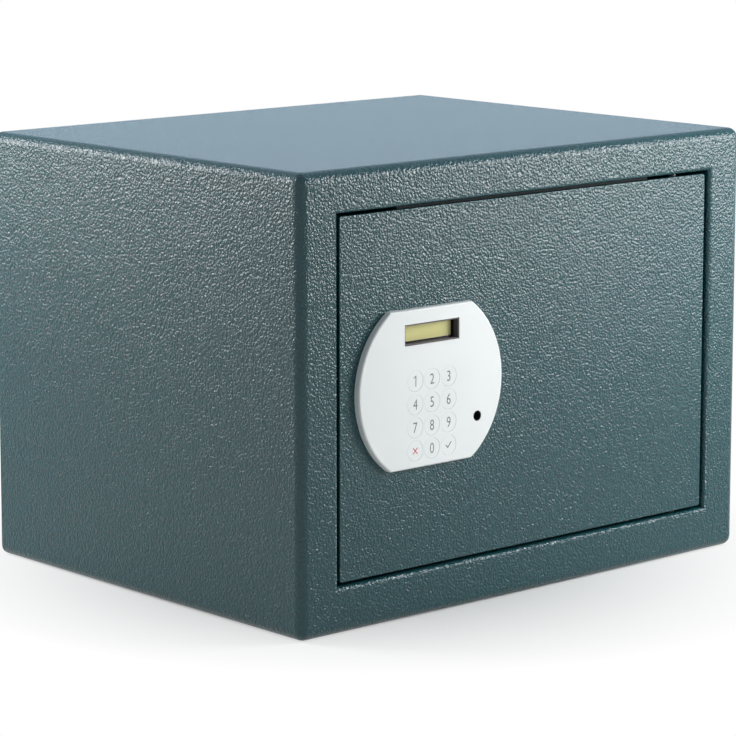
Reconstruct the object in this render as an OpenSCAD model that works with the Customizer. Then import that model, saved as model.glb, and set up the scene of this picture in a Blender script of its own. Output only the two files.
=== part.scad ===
// Small electronic safe: a folded steel casing with a flush front door.
// The door turns on hidden pivots at the right and is locked by two motor-driven bolts.
// A round keypad plate with flat top and bottom sits on the lock side of the door.
// The casing stands on z = 0, the front faces -Y and the width runs along X.
// Depths in the modules are counted from the front of the casing's frame, towards the back.

/* [Casing] */
// Width of the casing
body_w = 350; // [320:1:400]
// Depth of the casing, without the keypad
body_d = 278; // [200:1:340]
// Height of the casing
body_h = 257; // [240:1:300]
// Thickness of the casing's sheet
wall = 2; // [1.5:0.1:2.4]
// Outer radius of the casing's bends
bend_r = 6; // [4:0.5:8]
// Width of the front frame beside the door
frame_side = 27.5; // [25:0.5:32]
// Width of the front frame above the door
frame_top = 24; // [21:0.5:28]
// Width of the front frame below the door
frame_bottom = 27; // [24:0.5:32]
// Outer radius of the rim around the door opening
rim_r = 3; // [2.6:0.1:4]
// Depth of the flange behind the rim
return_d = 19; // [18:0.5:19.5]
// Gap along the back panel's weld
seam = 0.1; // [0.05:0.05:0.3]

/* [Anchors and mat] */
// Diameter of the anchor holes
anchor_d = 11; // [8:0.5:14]
// Distance between the anchor holes in the back panel
back_anchor_gap = 200; // [120:5:260]
// Height of the anchor holes in the back panel
back_anchor_z = 150; // [80:5:200]
// Distance between the anchor holes in the floor
floor_anchor_gap = 200; // [120:5:260]
// Distance from the back of the casing to the anchor holes in the floor
floor_anchor_back = 110; // [60:5:130]
// Thickness of the felt mat
mat_t = 3; // [2:0.5:5]
// Diameter of the holes in the mat
mat_hole_d = 28; // [20:1:36]

/* [Door] */
// Thickness of the door plate
door_t = 4; // [3:0.5:5]
// Depth of the door's face behind the front of the frame
door_recess = 1; // [0.5:0.1:2]
// Gap between door and frame on the lock side
gap_lock = 1.5; // [1.2:0.1:2.5]
// Gap between door and frame on the hinge side
gap_hinge = 3; // [2.8:0.1:4]
// Gap between door and frame at the top
gap_top = 1.5; // [1:0.1:2.5]
// Gap between door and frame at the bottom
gap_bottom = 2; // [1.8:0.1:3]
// Corner radius of the door plate
door_corner_r = 1.5; // [0.5:0.5:4]
// Width of the stiffening channel on the door's back
rib_w = 28; // [20:1:40]
// Depth of the stiffening channel
rib_d = 8; // [5:0.5:12]
// Sheet thickness of the stiffening channel
rib_t = 1.5; // [1:0.1:2.5]
// Distance from the hinge axis to the middle of the stiffening channel
rib_inset = 38; // [30:1:46]

/* [Hinge] */
// Distance from the door's edge to the hinge axis
hinge_inset = 20; // [18:0.5:24]
// Radius of the hinge pins
pin_r = 3; // [2.6:0.1:3.2]
// Radial running clearance of the pins
hinge_fit = 0.05; // [0.02:0.01:0.1]
// Wall of the hinge lugs around the pins
lug_wall = 2; // [1.8:0.1:3]
// Length of the hinge lugs
lug_len = 35; // [25:1:45]
// Free length of the upper pin, where the spring sits
spring_room = 16; // [14:0.5:20]
// Thickness of the hinge brackets behind the frame
bracket_t = 4; // [3:0.5:6]
// Length of the hinge brackets
bracket_len = 28; // [20:1:36]
// Thickness of the washer under the lower lug
washer_t = 1.5; // [1:0.1:1.7]
// Radius of the door spring's wire
spring_wire_r = 0.6; // [0.4:0.05:0.7]
// Number of turns of the door spring
spring_turns = 5; // [3:1:6]
// Length of the door spring's long leg
spring_leg = 18; // [12:1:25]

/* [Door stops] */
// Height of the stop strips behind the door's edge
stop_h = 7; // [6:0.5:9]
// Sheet thickness of the stop strips
stop_t = 1.5; // [1:0.1:2]
// Length of the leg that is welded to the frame
stop_leg = 10; // [7:0.5:11]
// Length of the stop strips
stop_len = 200; // [140:5:210]
// Thickness of the rubber buffers
buffer_t = 1.2; // [0.8:0.1:1.6]
// Length of each rubber buffer
buffer_len = 14; // [8:1:20]

/* [Keypad plate] */
// Radius of the keypad plate
pad_r = 54.2; // [52:0.2:58]
// Height between the plate's flat edges
pad_h = 89.4; // [88:0.2:96]
// Thickness of the keypad plate
pad_t = 4; // [3.2:0.1:5]
// Chamfer around the plate's front
pad_chamfer = 0.8; // [0.4:0.1:1.2]
// Distance from the door's lock edge to the plate's centre
pad_inset = 64.8; // [62:0.2:70]
// Height of the plate's centre above the door's middle
pad_rise = 1; // [-3:0.5:4]
// Distance of the plate's fixing screws from its centre, both ways
pad_screw_offset = 33; // [32:0.5:34]

/* [Keys] */
// Diameter of a key
key_d = 11.2; // [10:0.1:11.3]
// Gap around a key
key_gap = 0.25; // [0.2:0.05:0.3]
// Width of the lip that holds a key behind the plate
key_lip = 0.45; // [0.4:0.05:0.5]
// Distance between the columns of keys
key_pitch_x = 12.65; // [12.6:0.05:13.4]
// Distance between the rows of keys
key_pitch_z = 13.1; // [12.8:0.1:13.6]
// Height of the top row above the plate's centre
key_top = 4.4; // [3.5:0.1:5]
// Travel of a key
key_travel = 0.6; // [0.3:0.05:0.9]

/* [Display] */
// Width of the display window
window_w = 41.2; // [36:0.2:44]
// Height of the display window
window_h = 12; // [10:0.2:13]
// Height of the window's middle above the plate's centre
window_rise = 30.6; // [30:0.2:31.4]
// Wall of the dark frame inside the window
window_wall = 0.8; // [0.6:0.1:1.2]
// Width of the readable field
field_w = 35.6; // [30:0.2:36]
// Height of the readable field
field_h = 9.2; // [7:0.2:9.4]
// Thickness of the display module
display_t = 3.9; // [3:0.1:4.5]

/* [Service socket] */
// Diameter of the hole in the keypad plate
socket_hole_d = 6; // [5.8:0.1:7]
// Bore of the socket
socket_bore_d = 5.5; // [4:0.1:5.6]
// Depth of the socket's bore
socket_depth = 10; // [7:0.5:11]
// Outer diameter of the socket
socket_d = 9; // [7.6:0.1:9.4]
// Distance from the plate's centre to the socket, sideways
socket_x = 34.8; // [34.4:0.1:35.4]
// Distance from the plate's centre down to the socket
socket_drop = 21.2; // [19:0.2:23]

/* [Keypad housing] */
// Width of the housing behind the keypad plate
base_w = 53.4; // [50:0.2:54]
// Height of the housing
base_h = 83; // [82.8:0.2:83.4]
// Distance from the plate's centre down to the housing's middle
base_drop = 2; // [1.8:0.1:2.2]
// Depth of the housing behind the keypad plate
base_d = 13.8; // [11:0.2:14.2]
// Wall of the housing
base_wall = 1.6; // [1.2:0.1:2]
// Gap between the housing and the door's cut-out
base_gap = 0.3; // [0.2:0.1:0.6]
// Thickness of the circuit boards
board_t = 1.6; // [1:0.1:2]
// Thickness of the rubber key mat's sheet
mat_sheet_t = 1.1; // [0.8:0.1:1.3]

/* [Lock] */
// Depth of the space between door plate and lock chassis
chassis_space = 11; // [11:0.5:13]
// Sheet thickness of the lock chassis
chassis_t = 2; // [1.5:0.1:2.5]
// Width of the lock chassis
chassis_w = 177; // [174:1:184]
// Height of the lock chassis
chassis_h = 142; // [140:1:150]
// Distance from the door's lock edge to the chassis
chassis_inset = 5; // [4.5:0.5:7]
// Radius of the locking bolts
bolt_r = 8; // [6:0.5:8]
// Distance that the bolts move
bolt_throw = 16; // [10:0.5:16]
// Distance from the chassis' top and bottom edges to the bolts
bolt_inset = 25; // [24.2:0.2:27]
// Distance that the withdrawn bolts stay inside the door's edge
bolt_rest = 2.5; // [2:0.5:3.5]
// Length of the bolts
bolt_len = 40; // [38:0.5:42]
// Radial running clearance of the bolts in their guides
bolt_fit = 0.06; // [0.02:0.01:0.1]
// Thickness of the bolt carriage
carriage_t = 4; // [3:0.5:5]
// Width of the carriage's feet on the chassis
foot_w = 32; // [30:0.5:34]
// Gap under parts that slide on the chassis
slide_gap = 0.3; // [0.2:0.05:0.4]

/* [Drive] */
// Size of the gear teeth: the pitch diameter for each tooth
tooth_module = 1; // [0.8:0.05:1.1]
// Number of teeth on the pinion
pinion_teeth = 12; // [12:1:14]
// Flank angle of the rack's teeth
flank_angle = 25; // [22:1:28]
// Play between the teeth
tooth_play = 0.2; // [0.15:0.05:0.3]
// Thickness of the rack
rack_t = 5.5; // [4:0.5:6]
// Height of the rack's bar below its teeth
rack_bar_h = 8; // [6:0.5:9]
// Length of the rack
rack_len = 58; // [54:1:62]
// Thickness of the pinion
pinion_t = 5; // [4:0.5:5.5]
// Radius of the pinion's shaft
shaft_r = 2; // [1.5:0.1:2.2]
// Sheet thickness of the motor bracket
motor_bracket_t = 1.5; // [1:0.1:2]
// Radius of the motor
motor_r = 6.5; // [5:0.5:6.6]
// Length of the motor
motor_len = 28; // [20:1:30]

/* [Lock cover] */
// Wall of the lock cover
cover_wall = 2.2; // [2:0.1:2.4]
// Depth of the lock cover behind the door plate
cover_d = 39; // [38.8:0.2:42]
// Gap between the chassis and the inside of the cover
cover_room = 2.8; // [1.5:0.1:4]
// Distance from the door's lock edge to the cover
cover_inset = 1.5; // [1.3:0.1:2]
// Radius of the posts between chassis and cover
post_r = 4; // [3:0.5:4.5]
// Width of the battery lid
lid_w = 71; // [70:0.5:72]
// Height of the battery lid
lid_h = 64; // [62:0.5:66]
// Gap around the battery lid
lid_gap = 0.3; // [0.2:0.05:0.4]
// Radius of the reset button
reset_r = 3; // [2:0.5:4]
// Travel of the reset button
reset_travel = 1.5; // [1:0.1:2]

/* [Batteries] */
// Diameter of a battery
cell_d = 14.5; // [14:0.1:14.5]
// Length of a battery
cell_len = 50.5; // [48:0.5:50.5]
// Distance between the batteries
cell_pitch = 15.3; // [15:0.1:15.6]
// Wall of the battery holder
holder_wall = 1.5; // [1:0.1:1.8]

/* [Hidden] */
$fn = 48;

// Overall frame: the keypad plate stands proud, and y = 0 is the middle of it all
pad_proud = pad_t - door_recess;
front_y = (pad_proud - body_d) / 2;

// Door opening
open_w = body_w - 2 * frame_side;
open_z0 = frame_bottom;
open_z1 = body_h - frame_top;

// Door plate
door_x0 = -open_w / 2 + gap_lock;
door_x1 = open_w / 2 - gap_hinge;
door_z0 = open_z0 + gap_bottom;
door_z1 = open_z1 - gap_top;
door_mid_z = (door_z0 + door_z1) / 2;
door_back = door_recess + door_t;
buffer_gap = 0.3;
stop_d = door_back + buffer_t + buffer_gap;

// Hinge
lug_r = pin_r + lug_wall;
hinge_x = door_x1 - hinge_inset;
hinge_d = door_back + lug_r;
washer_fit = 0.1;
lug_low_z = open_z0 + washer_t + washer_fit;
lug_high_z = door_z1 - spring_room;
collar_t = 1.5;
collar_edge = 1.2;
collar_r = pin_r + collar_edge;
bracket_edge = 1;
bracket_depth = 2 * (lug_r + bracket_edge);
pin_end = 0.5;
spring_turn_gap = 0.8;
spring_play = 0.5;
spring_pitch = 2 * spring_wire_r + spring_turn_gap;
spring_mid_r = pin_r + spring_wire_r + spring_play;
spring_short_leg = 4;
spring_steps = 8;

// Keypad plate and what it carries
pad_x = door_x0 + pad_inset;
pad_z = door_mid_z + pad_rise;
pad_back = door_recess;
pad_front = pad_back - pad_t;
base_z = pad_z - base_drop;
board_play = 0.3;
key_columns = [-1, 0, 1];
key_rows = [0, 1, 2, 3];
field_shift = 0.5;
frame_sink = 0.4;
window_fit = 0.05;
mask_t = 0.3;
display_margin = 2;
key_head_sink = 0.25;
key_lip_t = 0.8;
dome_gap = 0.05;
key_head_back = pad_back + key_head_sink;
key_back = key_head_back + key_lip_t;
mat_top = key_back + key_travel + dome_gap;
board_depth = 4.3;
board_front = pad_back + board_depth;

// Lock chassis and bolts
chassis_front = door_back + chassis_space;
chassis_back = chassis_front + chassis_t;
chassis_x0 = door_x0 + chassis_inset;
chassis_x1 = chassis_x0 + chassis_w;
chassis_z0 = door_mid_z - chassis_h / 2;
bolt_rise = 10;
bolt_d = chassis_back + bolt_rise;
bolt_gap = chassis_h - 2 * bolt_inset;
bolt_tip_x = door_x0 + bolt_rest;
bolt_end_x = bolt_tip_x + bolt_len;
bolt_zs = [door_mid_z - bolt_gap / 2, door_mid_z + bolt_gap / 2];
carriage_edge = 7;
carriage_h = bolt_gap + 2 * (bolt_r + carriage_edge);
foot_x0 = bolt_end_x + carriage_t;
foot_t = 2;
guide_len = 12;
guide_x0 = chassis_x0 + chassis_t;
shoulder_r = 2.5;
shoulder_head_r = 4.5;
shoulder_fit = 0.1;
slot_end = 5;
shoulder_x = foot_x0 + foot_w - shoulder_r - slot_end;
bolt_screw_r = 3;
bolt_screw_head_r = 5;
bolt_screw_head_h = 4;
bolt_screw_len = 11;
bolt_nose = 1;
shoulder_head_t = 1.8;
shoulder_head_d = chassis_back + foot_t + 2 * slide_gap;
thread_fit = 0.05;

// Drive
pitch_r = tooth_module * pinion_teeth / 2;
tooth_reach = 0.8 * tooth_module;
tooth_depth = 1.1 * tooth_module;
rack_drop = 10;
rack_pitch_z = door_mid_z - rack_drop;
rack_root_z = rack_pitch_z - tooth_depth;
pinion_x = foot_x0 + rack_len / 2;
pinion_z = rack_pitch_z + pitch_r;
rack_lift = 0.7;
rack_front = chassis_back + slide_gap + rack_lift;
lip_t = 1;
pinion_front = rack_front + (rack_t - pinion_t) / 2;
platform_front = rack_front + rack_t + lip_t + 2 * slide_gap;
platform_back = platform_front + motor_bracket_t;
bracket_half_w = 15;
bracket_drop = 8;
bracket_rise = 12;
bracket_low_z = rack_root_z - rack_bar_h - bracket_drop;
bracket_high_z = pinion_z + pitch_r + bracket_rise;
foot_gap = 3.9;
foot_h = carriage_h / 2 - (door_mid_z - bracket_low_z) - foot_gap;
motor_seat = 0.3;
gearbox_back = platform_back + 2 * (motor_r + motor_seat);
gearbox_w = 26;
motor_d = platform_back + motor_r + motor_seat;
motor_z0 = bracket_high_z + 2;
shaft_reach = 8;
shaft_fit = 0.05;
boss_h = 1.6;

// Cover and posts
cover_x0 = door_x0 + cover_inset;
cover_x1 = chassis_x1 + cover_room + cover_wall;
cover_h = chassis_h + 2 * (cover_room + cover_wall);
cover_z0 = door_mid_z - cover_h / 2;
cover_back = door_back + cover_d;
cover_inner = cover_back - cover_wall;
post_edge = 6;
post_left = 13;
post_xs = [chassis_x0 + post_left, chassis_x1 - post_edge];
post_zs = [chassis_z0 + post_edge, chassis_z0 + chassis_h - post_edge];
spacer_r = 5;
screw_r = 1.5;
screw_head_r = 2.8;
screw_head_t = 1.6;
screw_play = 0.2;
pad_screw_reach = 2.8;
cover_screw_reach = 8;

// Batteries and boards
lid_lip = 1.5;
lid_play = 0.1;
lid_outer_t = cover_wall / 2;
lid_x0 = cover_x1 - lid_w;
grip_x = cover_x1 - 18;
grip_pitch = 3;
grip_w = 1.5;
grip_h = 28;
grip_depth = 0.6;
cells = 4;
cell_room = 7;
holder_w = cells * cell_pitch + 2 * holder_wall;
holder_h = cell_len + cell_room + 2 * holder_wall;
holder_x0 = lid_x0 + (lid_w - cover_wall - holder_w) / 2;
holder_z0 = door_mid_z - holder_h / 2;
holder_low = 5;
cell_gap = 1.1;
holder_front = cover_inner - cell_d - holder_wall - cell_gap;
cell_seat = 0.2;
cell_depth = holder_front + holder_wall + cell_d / 2 + cell_seat;
control_w = 72;
control_h = 32;
control_lift = 4;
control_edge_x = 14;
control_edge_z = 4;
control_front = chassis_back + control_lift;
control_x0 = chassis_x1 - control_w - control_edge_x;
control_z0 = chassis_z0 + chassis_h - control_h - control_edge_z;
reset_inset = 16;
reset_x = control_x0 + reset_inset;
reset_z = control_z0 + control_h / 2;
switch_h = 3.4;
switch_gap = 0.1;
reset_front = control_front + board_t + switch_h + reset_travel + switch_gap;

// Leads
cable_t = 0.8;
cable_inset = 8;
cable_rise = 3;
cable_w = 10;
cable_x0 = pad_x + base_w / 2 - cable_inset;
cable_z0 = control_z0 + cable_rise;
cable_z1 = cable_z0 + cable_w;
lead_r = 1.1;

// Colours as the object shows them
paint = [0.29, 0.37, 0.40];
paint_light = [0.36, 0.45, 0.48];
zinc = [0.72, 0.73, 0.74];
bright = [0.82, 0.83, 0.85];
brass = [0.76, 0.62, 0.34];
white = [0.88, 0.90, 0.90];
dark = [0.16, 0.17, 0.18];
rubber = [0.30, 0.31, 0.32];
green = [0.12, 0.36, 0.22];

// A plate drawn in the X-Z plane, between two depths
module slab(d0, d1) {
    translate([0, front_y + d1, 0])
        rotate([90, 0, 0])
            linear_extrude(d1 - d0)
                children();
}

// A block between two corners, given as x, depth and z
module block(x0, x1, d0, d1, z0, z1) {
    translate([x0, front_y + d0, z0])
        cube([x1 - x0, d1 - d0, z1 - z0]);
}

// A round bar along the depth
module rod_y(x, z, r, d0, d1) {
    translate([x, front_y + d1, z])
        rotate([90, 0, 0])
            cylinder(r = r, h = d1 - d0);
}

// A round bar along the width
module rod_x(d, z, r, x0, x1) {
    translate([x0, front_y + d, z])
        rotate([0, 90, 0])
            cylinder(r = r, h = x1 - x0);
}

// A round bar along the height
module rod_z(x, d, r, z0, z1) {
    translate([x, front_y + d, z0])
        cylinder(r = r, h = z1 - z0);
}

// A rectangle with round corners, centred
module round_rect(w, h, r) {
    square([w - 2 * r, h], center = true);
    square([w, h - 2 * r], center = true);
    for (sx = [-1, 1], sy = [-1, 1])
        translate([sx * (w / 2 - r), sy * (h / 2 - r)])
            circle(r);
}

// A quarter of a bent sheet's section
module quarter_ring(r, t) {
    intersection() {
        difference() {
            circle(r);
            circle(r - t);
        }
        square(r);
    }
}

// A coiled torsion spring around the height axis: straight legs along both end tangents
function coil_points(r, pitch, turns, start, leg_a, leg_b, steps) =
    let (first = [r * cos(start), r * sin(start), 0],
         last_a = start + 360 * turns,
         last = [r * cos(last_a), r * sin(last_a), pitch * turns],
         in_dir = [-sin(start), cos(start), 0],
         out_dir = [-sin(last_a), cos(last_a), 0])
    concat(
        leg_a > 0 ? [first - leg_a * in_dir] : [],
        [for (i = [0 : turns * steps])
            let (a = start + 360 * i / steps)
            [r * cos(a), r * sin(a), pitch * i / steps]],
        leg_b > 0 ? [last + leg_b * out_dir] : []);

// Least gap between the turns of a coil, measured on its points
function coil_gap(points, steps, r) =
    let (n = len(points))
    min([for (i = [0 : n - 1], j = [0 : n - 1]) if (j - i >= steps / 2) norm(points[j] - points[i])]) - 2 * r;

function unit(v) = v / norm(v);

// A round tube along a list of points, closed at both ends
module swept_tube(points, r, sides) {
    n = len(points);
    rings = [for (i = [0 : n - 1])
        let (t = unit(points[min(i + 1, n - 1)] - points[max(i - 1, 0)]),
             side = unit(cross(t, abs(t[2]) < 0.9 ? [0, 0, 1] : [1, 0, 0])),
             up = cross(side, t))
        for (k = [0 : sides - 1])
            points[i] + r * (cos(360 * k / sides) * side + sin(360 * k / sides) * up)];
    walls = [for (i = [0 : n - 2], k = [0 : sides - 1])
        let (a = i * sides + k, b = i * sides + (k + 1) % sides)
        for (f = [[a, b, b + sides], [a, b + sides, a + sides]]) f];
    caps = [[for (k = [0 : sides - 1]) sides - 1 - k],
            [for (k = [0 : sides - 1]) (n - 1) * sides + k]];
    polyhedron(rings, concat(walls, caps));
}

// ---- Casing ----

// One straight bend of the front edge, along X
module front_bend_x(z_side) {
    len_x = body_w - 2 * bend_r;
    translate([-len_x / 2, front_y + bend_r, z_side > 0 ? body_h - bend_r : bend_r])
        rotate([90, 0, 90])
            linear_extrude(len_x)
                rotate(z_side > 0 ? 90 : 180)
                    quarter_ring(bend_r, wall);
}

// One straight bend of the front edge, along Z
module front_bend_z(x_side) {
    translate([x_side * (body_w / 2 - bend_r), front_y + bend_r, bend_r])
        linear_extrude(body_h - 2 * bend_r)
            rotate(x_side > 0 ? 270 : 180)
                quarter_ring(bend_r, wall);
}

// One round corner of the front
module front_corner(x_side, z_side) {
    translate([x_side * (body_w / 2 - bend_r), front_y + bend_r,
               z_side > 0 ? body_h - bend_r : bend_r])
        mirror([0, 0, z_side > 0 ? 0 : 1])
            rotate(x_side > 0 ? 270 : 180)
                rotate_extrude(angle = 90)
                    quarter_ring(bend_r, wall);
}

// The opening's outline, grown by a margin
module opening_rect(margin) {
    translate([-open_w / 2 - margin, open_z0 - margin])
        square([open_w + 2 * margin, open_z1 - open_z0 + 2 * margin]);
}

// The bent rim at the opening's left and right, with mitred ends
module rim_side(x_side) {
    x_in = x_side * open_w / 2;
    x_out = x_in + x_side * rim_r;
    intersection() {
        translate([x_out, front_y + rim_r, open_z0 - rim_r])
            linear_extrude(open_z1 - open_z0 + 2 * rim_r)
                rotate(x_side > 0 ? 180 : 270)
                    quarter_ring(rim_r, wall);
        slab(0, rim_r)
            polygon([[x_out, open_z0 - rim_r], [x_in, open_z0],
                     [x_in, open_z1], [x_out, open_z1 + rim_r]]);
    }
}

// The bent rim above and below the opening, with mitred ends
module rim_level(z_in, z_side) {
    z_out = z_in + z_side * rim_r;
    half = open_w / 2;
    intersection() {
        translate([-half - rim_r, front_y + rim_r, z_out])
            rotate([90, 0, 90])
                linear_extrude(open_w + 2 * rim_r)
                    rotate(z_side > 0 ? 180 : 90)
                        quarter_ring(rim_r, wall);
        slab(0, rim_r)
            polygon([[-half - rim_r, z_out], [-half, z_in],
                     [half, z_in], [half + rim_r, z_out]]);
    }
}

// Folded and welded casing: top, sides, floor and front frame with its return flange
module body_shell() color(paint)
    difference() {
        union() {
            slab(bend_r, body_d)
                translate([0, body_h / 2])
                    difference() {
                        round_rect(body_w, body_h, bend_r);
                        round_rect(body_w - 2 * wall, body_h - 2 * wall, bend_r - wall);
                    }
            for (side = [-1, 1]) {
                front_bend_x(side);
                front_bend_z(side);
                rim_side(side);
            }
            for (sx = [-1, 1], sz = [-1, 1])
                front_corner(sx, sz);
            rim_level(open_z0, -1);
            rim_level(open_z1, 1);
            slab(0, wall)
                difference() {
                    translate([0, body_h / 2])
                        square([body_w - 2 * bend_r, body_h - 2 * bend_r], center = true);
                    opening_rect(rim_r);
                }
            slab(rim_r, return_d)
                difference() {
                    opening_rect(wall);
                    opening_rect(0);
                }
        }
        for (sx = [-1, 1])
            rod_z(sx * floor_anchor_gap / 2, body_d - floor_anchor_back, anchor_d / 2, -1, wall + 1);
        rod_z(hinge_x, hinge_d, pin_r + hinge_fit, open_z0 - wall - 1, open_z0 + 1);
        rod_z(hinge_x, hinge_d, pin_r + hinge_fit, open_z1 - 1, open_z1 + wall + 1);
    }

// Flat back, set into the casing and welded, with two anchor holes
module back_panel() color(paint)
    difference() {
        slab(body_d - wall, body_d)
            translate([0, body_h / 2])
                round_rect(body_w - 2 * wall - 2 * seam, body_h - 2 * wall - 2 * seam, bend_r - wall);
        for (sx = [-1, 1])
            rod_y(sx * back_anchor_gap / 2, back_anchor_z, anchor_d / 2, body_d - wall - 1, body_d + 1);
    }

// Felt mat on the floor, open over the anchor holes
module floor_mat() color(rubber)
    difference() {
        block(-body_w / 2 + bend_r + 1, body_w / 2 - bend_r - 1,
              return_d + 3, body_d - wall - 2, wall, wall + mat_t);
        for (sx = [-1, 1])
            rod_z(sx * floor_anchor_gap / 2, body_d - floor_anchor_back, mat_hole_d / 2, 0, wall + mat_t + 1);
    }

// Angle strips behind the door's top and bottom edges
module door_stops() color(paint)
    for (side = [-1, 1]) {
        edge = side > 0 ? open_z1 : open_z0;
        block(-stop_len / 2, stop_len / 2, stop_d, stop_d + stop_t,
              side > 0 ? edge - stop_h : edge, side > 0 ? edge : edge + stop_h);
        block(-stop_len / 2, stop_len / 2, stop_d, stop_d + stop_leg,
              side > 0 ? edge - stop_t : edge, side > 0 ? edge : edge + stop_t);
    }

// Four rubber buffers on the stop strips, which the door rests against
module door_buffers() color(rubber)
    for (side = [-1, 1], sx = [-1, 1]) {
        buffer_edge = 0.5;
        inner = side > 0 ? open_z1 - stop_h : door_z0 + buffer_edge;
        outer = side > 0 ? door_z1 - buffer_edge : open_z0 + stop_h;
        mid_x = sx * (stop_len / 2 - buffer_len);
        block(mid_x - buffer_len / 2, mid_x + buffer_len / 2,
              door_back + buffer_gap, stop_d, inner, outer);
    }

// Steel bracket behind the frame with the hinge pin's bore
module hinge_bracket(z0) {
    difference() {
        block(hinge_x - bracket_len / 2, hinge_x + bracket_len / 2,
              hinge_d - bracket_depth / 2, hinge_d + bracket_depth / 2, z0, z0 + bracket_t);
        rod_z(hinge_x, hinge_d, pin_r + hinge_fit, z0 - 1, z0 + bracket_t + 1);
    }
}

module hinge_bracket_upper() color(paint) hinge_bracket(open_z1 + wall);

module hinge_bracket_lower() color(paint) hinge_bracket(open_z0 - wall - bracket_t);

// Black acetal washer that carries the door
module hinge_washer() color(dark)
    difference() {
        rod_z(hinge_x, hinge_d, lug_r, open_z0, open_z0 + washer_t);
        rod_z(hinge_x, hinge_d, pin_r + washer_fit, open_z0 - 1, open_z0 + washer_t + 1);
    }

// ---- Door ----

// Steel door plate with the cut-outs for the keypad
module door_plate() color(paint_light)
    difference() {
        slab(door_recess, door_back)
            translate([(door_x0 + door_x1) / 2, door_mid_z])
                round_rect(door_x1 - door_x0, door_z1 - door_z0, door_corner_r);
        slab(door_recess - 1, door_back + 1)
            translate([pad_x, base_z])
                square([base_w + 2 * base_gap, base_h + 2 * base_gap], center = true);
        rod_y(pad_x + socket_x, pad_z - socket_drop, socket_d / 2 + base_gap, door_recess - 1, door_back + 1);
        for (sx = [-1, 1], sz = [-1, 1])
            rod_y(pad_x + sx * pad_screw_offset, pad_z + sz * pad_screw_offset,
                  screw_r + screw_play, door_recess - 1, door_back + 1);
    }

// Channel welded upright on the door's back
module door_rib() color(paint_light)
    difference() {
        block(hinge_x - rib_inset - rib_w / 2, hinge_x - rib_inset + rib_w / 2,
              door_back, door_back + rib_d, open_z0 + stop_h + 6, open_z1 - stop_h - 6);
        block(hinge_x - rib_inset - rib_w / 2 + rib_t, hinge_x - rib_inset + rib_w / 2 - rib_t,
              door_back - 1, door_back + rib_d - rib_t, open_z0, open_z1);
    }

// Lug on the door's back that holds a hinge pin
module hinge_lug(z0, z1) {
    difference() {
        union() {
            rod_z(hinge_x, hinge_d, lug_r, z0, z1);
            block(hinge_x - lug_r, hinge_x + lug_r, door_back, hinge_d, z0, z1);
        }
        rod_z(hinge_x, hinge_d, pin_r + hinge_fit, z0 - 1, z1 + 1);
    }
}

module hinge_lug_upper() color(paint_light) hinge_lug(lug_high_z - lug_len, lug_high_z);

module hinge_lug_lower() color(paint_light) hinge_lug(lug_low_z, lug_low_z + lug_len);

// Upper pin: a collar rests on the lug, and the end turns in the frame and bracket
module hinge_pin_upper() color(bright) {
    rod_z(hinge_x, hinge_d, pin_r, lug_high_z - lug_len, open_z1 + wall + bracket_t + pin_end);
    rod_z(hinge_x, hinge_d, collar_r, lug_high_z, lug_high_z + collar_t);
}

module hinge_pin_lower() color(bright)
    rod_z(hinge_x, hinge_d, pin_r, open_z0 - wall - bracket_t - pin_end, lug_low_z + lug_len);

// Torsion spring around the upper pin, with its long leg behind the door plate
module door_spring() color(bright) {
    points = coil_points(spring_mid_r, spring_pitch, spring_turns, 270,
                         spring_leg, spring_short_leg, spring_steps);
    echo("least gap between the spring's turns, mm", coil_gap(points, spring_steps, spring_wire_r));
    translate([hinge_x, front_y + hinge_d, lug_high_z + collar_t + spring_wire_r + 0.2])
        swept_tube(points, spring_wire_r, 6);
}

// ---- Keypad ----

// The plate's outline: a circle with its top and bottom cut off
module pad_outline(margin) {
    intersection() {
        circle(pad_r - margin);
        square([3 * pad_r, pad_h - 2 * margin], center = true);
    }
}

// Columns and rows of the keys, about the plate's centre
function key_x(column) = column * key_pitch_x;
function key_z(row) = key_top - row * key_pitch_z;

// White plate with twelve key holes, the display's window and the socket's hole
module keypad_plate() color(white)
    difference() {
        union() {
            slab(pad_front + pad_chamfer, pad_back)
                translate([pad_x, pad_z])
                    pad_outline(0);
            slab(pad_front, pad_front + pad_chamfer)
                translate([pad_x, pad_z])
                    pad_outline(pad_chamfer / 2);
        }
        for (c = key_columns, r = key_rows)
            rod_y(pad_x + key_x(c), pad_z + key_z(r), key_d / 2 + key_gap, pad_front - 1, pad_back + 1);
        slab(pad_front - 1, pad_back + 1)
            translate([pad_x, pad_z + window_rise])
                square([window_w, window_h], center = true);
        rod_y(pad_x + socket_x, pad_z - socket_drop, socket_hole_d / 2, pad_front - 1, pad_back + 1);
        for (sx = [-1, 1], sz = [-1, 1])
            rod_y(pad_x + sx * pad_screw_offset, pad_z + sz * pad_screw_offset,
                  screw_r + thread_fit, pad_back - pad_screw_reach - 0.2, pad_back + 1);
    }

// Four screws through the door plate into the keypad plate
module keypad_screws() color(bright)
    for (sx = [-1, 1], sz = [-1, 1]) {
        x = pad_x + sx * pad_screw_offset;
        z = pad_z + sz * pad_screw_offset;
        rod_y(x, z, screw_r, pad_back - pad_screw_reach, door_back + 0.1);
        rod_y(x, z, screw_head_r, door_back, door_back + screw_head_t);
    }

// Black housing behind the plate, which passes through the door plate
module keypad_housing() color(dark)
    difference() {
        slab(pad_back, pad_back + base_d)
            translate([pad_x, base_z])
                square([base_w, base_h], center = true);
        slab(pad_back - 1, pad_back + base_d - base_wall)
            translate([pad_x, base_z])
                square([base_w - 2 * base_wall, base_h - 2 * base_wall], center = true);
    }

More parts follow.
